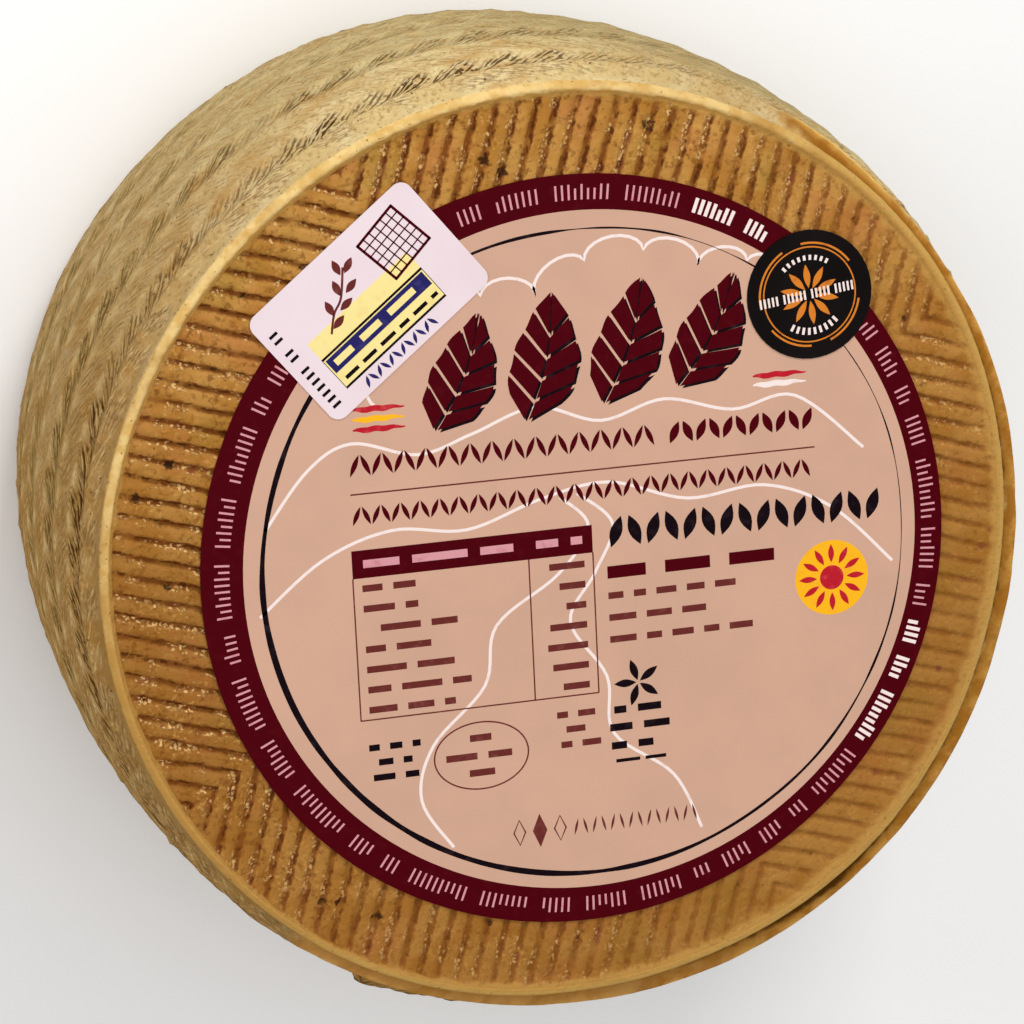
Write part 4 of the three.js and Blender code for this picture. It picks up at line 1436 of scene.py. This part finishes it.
@dataclass
class RoundLabel(PrintedPaper):
    """The round label: a maroon ring round a pink field with a plain country design.

    The print's axes start on the wheel's axis.
    """

    middle: Point = (1.5, -0.7)
    radius: float = 75.73
    edge_depth: float = 0.23
    field_middle: Point = (2.8, -0.76)
    field_radius: float = 68.69
    line_middle: Point = (3.5, -0.96)
    line_radius: float = 65.4
    line_width: float = 0.62
    left: float = -43.8
    right: float = 50.8

    def draw(self) -> None:
        """Draws the label's print."""
        self.draw_ring()
        self.draw_brush_line()
        self.draw_hills()
        self.draw_leaves()
        self.draw_rows()
        self.draw_table()
        self.draw_marks()

    def draw_ring(self) -> None:
        """The maroon ring and the groups of short ticks that run round in it."""
        inner = circle(*self.field_middle, self.field_radius, 180)
        self.ink(Spread.MAROON).sunk = self.edge_depth
        self.ink(Spread.MAROON).band(inner, circle(*self.middle, self.radius, 180), closed=True)
        draw = random.Random(self.seed)
        middle = [(a + b) / 2 for a, b in zip(self.middle, self.field_middle)]
        radius = (self.radius + self.field_radius) / 2
        pitch, gap, angle = 1.3 / radius, 2.6 / radius, 0.0
        while angle < FULL_TURN - gap:
            bold = 0.62 < angle < 1.12 or 5.58 < angle < 5.98
            ticks = self.ink(Spread.WHITE if bold else Spread.ROSE, 2)
            for _ in range(draw.randint(3, 10)):
                half = draw.choice((1.5, 1.5, 1.1))
                way = (math.cos(angle), math.sin(angle))
                ends = [(middle[0] + way[0] * reach, middle[1] + way[1] * reach) for reach in (radius - 1.5, radius - 1.5 + 2 * half)]
                ticks.stroke(ends, 0.75 if bold else 0.42)
                angle += pitch
            angle += gap

    def draw_brush_line(self) -> None:
        """The black brushed circle, broad on one side and dry on the other."""
        steps = 240
        line, widths = [], []
        for x, y in circle(0, 0, 1, steps):
            spot = np.array([x, y, 0.0])
            wobble = float(Unevenness(51, 0.35).at(spot)) * 0.35
            load = 0.55 + 0.5 * math.cos(math.atan2(y, x) - math.radians(212))
            widths.append(max(0.14, 0.12 + load + 0.25 * float(Unevenness(52, 0.09).at(spot))))
            reach = self.line_radius + wobble
            line.append((self.line_middle[0] + x * reach, self.line_middle[1] + y * reach))
        self.ink(Spread.BLACK).stroke(line, widths, closed=True)

    def draw_hills(self) -> None:
        """White outlines: a scalloped cloud, two lines of hills and a path that widens as it comes down."""
        white = self.ink(Spread.WHITE)
        cloud = [(-37, 33), (-36, 43), (-27, 50), (-16, 53), (-5, 52), (5, 58), (17, 59), (28, 55), (38, 55), (47, 48), (51, 38)]
        scallops = [cloud[0]]
        for (ax, ay), (bx, by) in zip(cloud, cloud[1:]):
            middle, reach = ((ax + bx) / 2, (ay + by) / 2), math.dist((ax, ay), (bx, by)) / 2
            start = math.atan2(ay - middle[1], ax - middle[0])
            arc = circle(0, 0, reach, 10, start, -math.pi)
            scallops += [self.flattened(point, start, middle) for point in arc[1:]]
        white.stroke(scallops, self.line_width)
        far = [(-61, 11), (-52, 22), (-43, 26.5), (-30, 23), (-19, 26), (-6, 30), (7, 26), (20, 29), (34, 25.5), (47, 27), (61, 15)]
        near = [(-63, -6), (-50, 4), (-36, 8.5), (-21, 7), (-6, 11.5), (8, 13.5), (24, 8.5), (40, 9.5), (54, 3.5), (66.5, -9)]
        path_left = [(-2, 11.5), (3.5, 5), (-3, -4), (-16, -13), (-19, -25), (-30, -36), (-33, -47), (-27, -57.5)]
        path_right = [(1.5, 11.9), (8.5, 5), (4.5, -4.5), (-1, -14), (6, -26), (7, -38), (19, -48), (24.5, -60)]
        for line in (far, near, path_left, path_right):
            white.stroke(flowing(line), self.line_width)

    def flattened(self, point: Point, slant: float, middle: Point) -> Point:
        """Puts a half circle's point on the flatter arc of a scallop.

        Args:
            point: The point about the circle's own middle.
            slant: The direction of the scallop's first end.
            middle: The middle between the scallop's ends.

        Returns:
            The point on the paper.
        """
        cosine, sine = math.cos(slant), math.sin(slant)
        along, out = point[0] * cosine + point[1] * sine, 0.62 * (point[1] * cosine - point[0] * sine)
        return (middle[0] + along * cosine - out * sine, middle[1] + along * sine + out * cosine)

    def draw_leaves(self) -> None:
        """Four bold brushed leaves, each with a dark shadow and open veins."""
        leaves = (
            (-21.5, 38.5, 24.5, 13.0, -24),
            (-5.0, 40.0, 26.0, 13.6, -14),
            (12.0, 41.5, 26.0, 13.6, -20),
            (29.0, 42.0, 25.0, 13.0, -30),
        )
        for leaf in leaves:
            for side in (1, -1):
                for part in self.leaf_parts(*leaf, side):
                    self.ink(Spread.MAROON, 3).blot(part)
                    self.ink(Spread.BLACK, 2).blot([(x + 0.45, y - 0.5) for x, y in part])

    def leaf_parts(
        self, x: float, y: float, length: float, width: float, slant: float, side: int
    ) -> list[list[Point]]:
        """The outlines of the parts of half a leaf, between its rib and its side veins.

        Args:
            x: The leaf's middle across.
            y: The leaf's middle up.
            length: From the leaf's stem to its point.
            width: Across the leaf.
            slant: How far it leans from upright, in degrees.
            side: 1 for the right half and -1 for the left one.

        Returns:
            The outlines, anticlockwise.
        """
        count, steps, vein, climb = 6, 4, 0.014, 0.17
        outlines = []
        for number in range(count):
            low, high = number / count + vein, (number + 1) / count - vein
            shares = [low + (high - low) * step / steps for step in range(steps + 1)]
            edge = [self.leaf_point(x, y, length, width, slant, side, min(1.0, share + climb), 1.0) for share in shares]
            rib = [self.leaf_point(x, y, length, width, slant, side, share, 0.0) for share in reversed(shares)]
            outlines.append((edge + rib)[::side])
        return outlines

    def leaf_point(
        self, x: float, y: float, length: float, width: float, slant: float, side: int, share: float, out: float
    ) -> Point:
        """One point of a leaf, by its share of the way up and of the way out from the rib to the edge."""
        lean = math.radians(slant)
        rib = 0.45 * (1 - share)
        swell = math.sin(math.pi * min(1.0, 0.06 + 0.94 * share)) ** 0.8 * (1.12 - 0.3 * share)
        edge = max(rib, width / 2 * swell + 0.22 * math.sin(23 * share + x))
        across = side * (rib + (edge - rib) * out) + 1.6 * math.sin(math.pi * share)
        along = length * (share - 0.5)
        return (
            x + across * math.cos(lean) - along * math.sin(lean),
            y + across * math.sin(lean) + along * math.cos(lean),
        )

    def draw_rows(self) -> None:
        """Rows of leaning grains with a rule between them, and rows of dashes."""
        draw = random.Random(self.seed + 1)
        brown, maroon, black = (self.ink(ink, 2) for ink in (Spread.BROWN, Spread.MAROON, Spread.BLACK))
        maroon.plait((self.left, 19.9), 18.5, 4.3, 1.05, 2.2)
        maroon.plait((20.5, 19.9), self.right, 4.3, 1.75, 2.75)
        brown.stroke([(self.left, 16.4), (self.right, 16.1)], 0.3)
        maroon.plait((self.left, 10.2), self.right, 3.7, 0.95, 1.95)
        black.plait((7.2, 0.2), 64.6, 6.2, 2.5, 3.82, 20)
        maroon.dashes((7.0, -6.1), 41.8, 2.5, draw, 12)
        for y, end in ((-10.3, 33.4), (-14.8, 29.1), (-19.3, 36.7)):
            brown.dashes((7.0, y), end, 1.35, draw, 7)

    def draw_table(self) -> None:
        """A plain ruled table: a dark head and rows of dashes."""
        draw = random.Random(self.seed + 2)
        left, right, top, bottom, head, rows = -44.3, 4.2, 5.2, -29.2, 5.6, 7
        divide = left + 0.73 * (right - left)
        brown, white = self.ink(Spread.BROWN, 2), self.ink(Spread.ROSE, 3)
        self.ink(Spread.MAROON, 2).bar(left, top - head, right - left, head)
        white.dashes((left + 2.2, top - 3.6), divide - 3, 1.6, draw, 14)
        white.dashes((divide + 1.6, top - 3.6), right - 1.2, 1.6, draw, 5)
        corners = [(left, top - head), (left, bottom), (right, bottom), (right, top - head)]
        for start, end in zip(corners, corners[1:]):
            brown.stroke([start, end], 0.28)
        brown.stroke([(divide, top - head), (divide, bottom)], 0.28)
        pitch = (top - head - bottom) / rows
        for row in range(rows):
            y = top - head - (row + 0.68) * pitch
            indent = 5.0 if row == 2 else 1.8
            brown.dashes((left + indent, y), left + indent + draw.uniform(9, 24), 1.35, draw, 9)
            length = draw.uniform(4, 8.4)
            brown.bar(right - 1.8 - length, y, length, 1.35)

    def draw_marks(self) -> None:
        """Small plain ornaments: a sun, a rosette, an oval, three lozenges and brushed stripes."""
        draw = random.Random(self.seed + 3)
        sun_x, sun_y = 53.6, -11.1
        self.ink(Spread.YELLOW).blot(circle(sun_x, sun_y, 7.7, 48))
        self.ink(Spread.RED, 2).blot(circle(sun_x, sun_y, 2.5, 32))
        for number in range(12):
            angle = number * FULL_TURN / 12
            spot = (sun_x - 5.0 * math.sin(angle), sun_y + 5.0 * math.cos(angle))
            self.ink(Spread.RED, 2).blot(grain(*spot, 3.8, 1.25, math.degrees(angle)))
        black, brown = self.ink(Spread.BLACK, 2), self.ink(Spread.BROWN, 2)
        for petal in range(5):
            angle = petal * FULL_TURN / 5 + 0.3
            black.blot(grain(12.4 - 2.7 * math.sin(angle), -28.0 + 2.7 * math.cos(angle), 4.6, 1.6, math.degrees(angle)))
        for y, half in ((-34.0, 5.2), (-37.6, 6.2), (-41.4, 6.0), (-44.2, 5.2)):
            black.dashes((12.4 - half, y), 12.4 + half, 0.7 if y < -43 else 1.5, draw, 6)
        brown.stroke([(-20.4 + 9.6 * x, -39.2 + 6.9 * y) for x, y in circle(0, 0, 1, 64)], 0.3, closed=True)
        for x, y, half in ((-20.4, -36.2, 2.2), (-20.4, -39.9, 7.2), (-20.4, -43.4, 2.6)):
            brown.dashes((x - half, y), x + half, 1.4, draw, 8)
        for column, top in ((-37.8, -35.6), (0.6, -33.6)):
            for row, half in enumerate((5.2, 3.4, 4.6)):
                self.ink(Spread.BLACK if column < -20 else Spread.BROWN, 2).dashes((column - half, top - 3.1 * row), column + half, 1.3, draw, 5)
        self.draw_lozenges(brown)
        brown.plait((-2.6, -58.2), 25.0, 3.4, 0.5, 1.9, 14)
        for y, ink in ((33.0, Spread.RED), (31.0, Spread.YELLOW), (29.0, Spread.RED)):
            self.draw_stripe(-42.6, y, 10.4, ink)
        for y, ink in ((31.6, Spread.RED), (29.8, Spread.WHITE)):
            self.draw_stripe(38.4, y, 11.0, ink)

    def draw_lozenges(self, ink: Print) -> None:
        """Three lozenges side by side, the middle one filled."""
        for number, (width, height) in enumerate(((2.4, 5.2), (3.0, 7.0), (2.4, 5.2))):
            x, y = -13.4 + 4.2 * number, -56.3
            corners = [(x + width / 2, y), (x, y + height / 2), (x - width / 2, y), (x, y - height / 2)]
            if number == 1:
                ink.blot(corners)
            else:
                ink.stroke(corners, 0.32, closed=True)

    def draw_stripe(self, x: float, y: float, length: float, colour: Spread) -> None:
        """One dry brushed stripe with ragged ends."""
        steps = 14
        path = [(x + length * step / steps, y + 0.12 * math.sin(1.3 * step)) for step in range(steps + 1)]
        widths = [1.15 * min(1.0, 0.25 + 4 * step / steps, 0.2 + 2.2 * (1 - step / steps)) for step in range(steps + 1)]
        self.ink(colour, 2).stroke(path, widths)


@dataclass
class CornerCard(PrintedPaper):
    """The small white card: a straw panel with a dark band, a lattice and short ticks.

    The print's axes start at the card's middle, x along its length.
    """

    length: float = 41.0
    width: float = 27.0

    def draw(self) -> None:
        """Draws the card's print."""
        draw = random.Random(self.seed)
        black, navy, maroon = self.ink(Spread.BLACK, 2), self.ink(Spread.NAVY, 3), self.ink(Spread.MAROON, 2)
        self.ink(Spread.STRAW).bar(-14.4, -9.4, 26.0, 11.6)
        frame_line = [(-14.4, -9.4), (11.6, -9.4), (11.6, -2.2), (-14.4, -2.2)]
        black.stroke(frame_line, 0.5, closed=True)
        navy.bar(-14.0, -5.9, 25.2, 3.2)
        self.ink(Spread.STRAW, 4).dashes((-12.8, -5.0), 10.4, 1.4, draw, 7)
        black.dashes((-13.2, -8.3), 10.8, 0.8, draw, 5)
        navy.plait((-11.4, -12.6), 8.6, 2.3, 0.7, 1.55, 26)
        self.draw_lattice(maroon, (11.0, 5.3), 5.0, 6)
        brown = self.ink(Spread.BROWN, 2)
        brown.stroke(flowing([(-9.6, 0.4), (-6.6, 3.0), (-3.6, 4.4), (0.6, 8.6)]), 0.45)
        for x, y, lean in ((-7.0, 1.2, -80), (-6.6, 4.4, -10), (-3.6, 2.8, -86), (-3.0, 6.4, -14), (-0.6, 4.8, -78), (-0.4, 9.4, -12), (1.6, 8.2, -66)):
            brown.blot(grain(x, y, 3.4, 1.5, lean))
        for step in range(13):
            if step not in (7, 10):
                black.bar(-18.9, -10.8 + 1.55 * step, 1.9, 0.62)

    def draw_lattice(self, ink: Print, middle: Point, half: float, cells: int) -> None:
        """A lozenge of crossing lines.

        Args:
            ink: The print to draw in.
            middle: The lozenge's middle.
            half: Half the length of its sides.
            cells: How many cells each side has.
        """
        lean = math.radians(8)
        for number in range(cells + 1):
            offset = half * (2 * number / cells - 1)
            width = 0.55 if number in (0, cells) else 0.26
            for turn in (lean, lean + math.pi / 2):
                cosine, sine = math.cos(turn), math.sin(turn)
                ends = [(middle[0] + reach * cosine - offset * sine, middle[1] + reach * sine + offset * cosine)
                        for reach in (-half - 0.2, half + 0.2)]
                ink.stroke(ends, width)


@dataclass
class RoundSticker(PrintedPaper):
    """The round black sticker: orange rings round a plain rosette and a band of pale dashes.

    The print's axes start at the sticker's middle.
    """

    radius: float = 12.9

    def draw(self) -> None:
        """Draws the sticker's print."""
        orange, white = self.ink(Spread.ORANGE), self.ink(Spread.WHITE, 2)
        for start, turn in ((0.5, 1.1), (2.0, 1.2), (3.7, 0.9), (5.0, 1.0)):
            orange.stroke(circle(0, 0, 10.3, 14, start, turn), 0.42)
        orange.ring(0, 0, 9.5, 0.28)
        for petal in range(10):
            angle = petal * FULL_TURN / 10
            orange.blot(grain(-3.7 * math.sin(angle), 3.7 * math.cos(angle), 4.8, 1.4, math.degrees(angle)))
        draw, x = random.Random(self.seed), -10.4
        while x < 10.2:
            for _ in range(draw.randint(4, 6)):
                white.bar(x, -0.9, 0.42, 1.9)
                x += 0.85
            x += 0.7
        for turn, height in ((math.pi / 2, 1.0), (-math.pi / 2, 1.4)):
            for step in range(-4, 5):
                angle = turn + 0.16 * step
                ends = [(reach * math.cos(angle), reach * math.sin(angle)) for reach in (7.4 - height / 2, 7.4 + height / 2)]
                white.stroke(ends, 0.55)


@dataclass(frozen=True)
class SoftLight:
    """One square soft light.

    Attributes:
        name: Its name.
        place: Where it hangs, in metres.
        size: Its side, in metres.
        power: Its power, in watts.
        colour: Its colour.
    """

    name: str
    place: tuple[float, float, float]
    size: float
    power: float
    colour: tuple[float, float, float] = (1.0, 1.0, 1.0)

    def hang(self, target: Vector) -> None:
        """Hangs the light and turns it to a target."""
        data = bpy.data.lights.new(self.name, "AREA")
        data.size = self.size
        data.energy = self.power
        data.color = self.colour
        lamp = bpy.data.objects.new(self.name, data)
        lamp.location = self.place
        lamp.rotation_euler = (target - Vector(self.place)).to_track_quat("-Z", "Y").to_euler()
        bpy.context.scene.collection.objects.link(lamp)


@dataclass(frozen=True)
class Studio:
    """A pale floor and even air under soft lights."""

    floor_half: float = 3.0
    floor_colour: Colour = (0.96, 0.96, 0.96, 1.0)
    air: float = 0.34
    target: Vector = Vector((0, 0, 0.08))
    lights: tuple[SoftLight, ...] = (
        SoftLight("window", (0.35, 1.25, 1.0), 0.6, 12.0),
        SoftLight("side", (-1.3, 0.7, 0.8), 0.8, 6.0),
        SoftLight("overhead", (0.0, 0.2, 1.9), 1.4, 12.0),
        SoftLight("floor_fill", (-0.9, -0.9, 0.8), 1.0, 2.4),
    )

    def build(self) -> None:
        """Lays the floor, hangs the lights and sets the air."""
        half = self.floor_half
        mesh = bpy.data.meshes.new("floor")
        mesh.from_pydata([(-half, -half, 0), (half, -half, 0), (half, half, 0), (-half, half, 0)], [], [(0, 1, 2, 3)])
        mesh.materials.append(Recipe("floor_paint").finish(self.floor_colour, 0.6))
        floor = bpy.data.objects.new("floor", mesh)
        bpy.context.scene.collection.objects.link(floor)
        for light in self.lights:
            light.hang(self.target)
        world = bpy.data.worlds.new("air")
        world.use_nodes = True
        background = world.node_tree.nodes["Background"]
        background.inputs["Color"].default_value = (1.0, 1.0, 1.0, 1.0)
        background.inputs["Strength"].default_value = self.air
        bpy.context.scene.world = world
        bpy.context.scene.view_settings.view_transform = "Standard"


@dataclass(frozen=True)
class Viewpoint:
    """The photograph's camera, in the wheel's own axes: it looks down past the wheel's upper left side.

    Attributes:
        place: Where it is, in millimetres.
        right: The direction to the picture's right.
        up: The direction to the picture's top.
        lens: Its focal length, in millimetres on its sensor.
        sensor: The sensor's width.
    """

    place: tuple[float, float, float] = (-196.9, 198.9, 834.0)
    right: tuple[float, float, float] = (0.96579, -0.04696, 0.25505)
    up: tuple[float, float, float] = (0.10594, 0.96910, -0.22274)
    lens: float = 140.625
    sensor: float = 36.0

    def build(self, shift: np.ndarray) -> None:
        """Sets up the camera, given how far the wheel's axis is from the frame's origin."""
        data = bpy.data.cameras.new("camera")
        data.lens = self.lens
        data.sensor_width = self.sensor
        camera = bpy.data.objects.new("camera", data)
        right = Vector(self.right).normalized()
        up = Vector(self.up)
        up = (up - right * up.dot(right)).normalized()
        turned = Matrix((right, up, right.cross(up))).transposed().to_4x4()
        camera.matrix_world = Matrix.Translation((Vector(self.place) + Vector(shift)) * MM) @ turned
        bpy.context.scene.collection.objects.link(camera)
        bpy.context.scene.camera = camera


def paper_place(node: str, middle: Point, turn: float = 0.0) -> Matrix:
    """The place of a paper's print.

    Args:
        node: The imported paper.
        middle: The paper's middle in the print's own axes, in millimetres.
        turn: How far the print is turned, in degrees.

    Returns:
        The matrix from the print's own axes to the frame.
    """
    low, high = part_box(node)
    centre = (low + high) / 2
    moved = Vector((centre.x - middle[0] * MM, centre.y - middle[1] * MM, high.z))
    return Matrix.Translation(moved) @ Matrix.Rotation(math.radians(turn), 4, "Z")


def main() -> None:
    """Builds and dresses the cheese, its papers and the studio, and notes the sizes."""
    logging.basicConfig(level=logging.INFO, format="%(message)s")
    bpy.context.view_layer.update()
    label_place = paper_place("round_label", RoundLabel.middle)
    shift = np.array([label_place.translation.x, label_place.translation.y, 0.0]) / MM
    Viewpoint().build(shift)
    wheel = Wheel(shift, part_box("wheel")).build()
    wheel.data.materials.append(Rind().material())
    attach(wheel, "root")
    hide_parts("wheel")
    log.info("%s: %d faces", wheel.name, len(wheel.data.polygons))
    label_stock = Paper("label_paper", seen(209, 165, 140), seen(203, 160, 136))
    card_stock = Paper("card_paper", seen(236, 217, 221), seen(230, 210, 215))
    sticker_stock = Paper("sticker_paper", seen(16, 11, 11), seen(24, 18, 17), 0.4, 0.03)
    papers = (
        RoundLabel("round_label", "label_paper", label_stock, label_place),
        RoundSticker("round_sticker", "sticker_paper", sticker_stock, paper_place("round_sticker", (0.0, 0.0), 7)),
        CornerCard("corner_card", "card_paper", card_stock, paper_place("corner_card", (0.0, 0.0), 38.5)),
    )
    for paper in papers:
        paper.build()
    Studio().build()


if __name__ == "__main__":
    main()
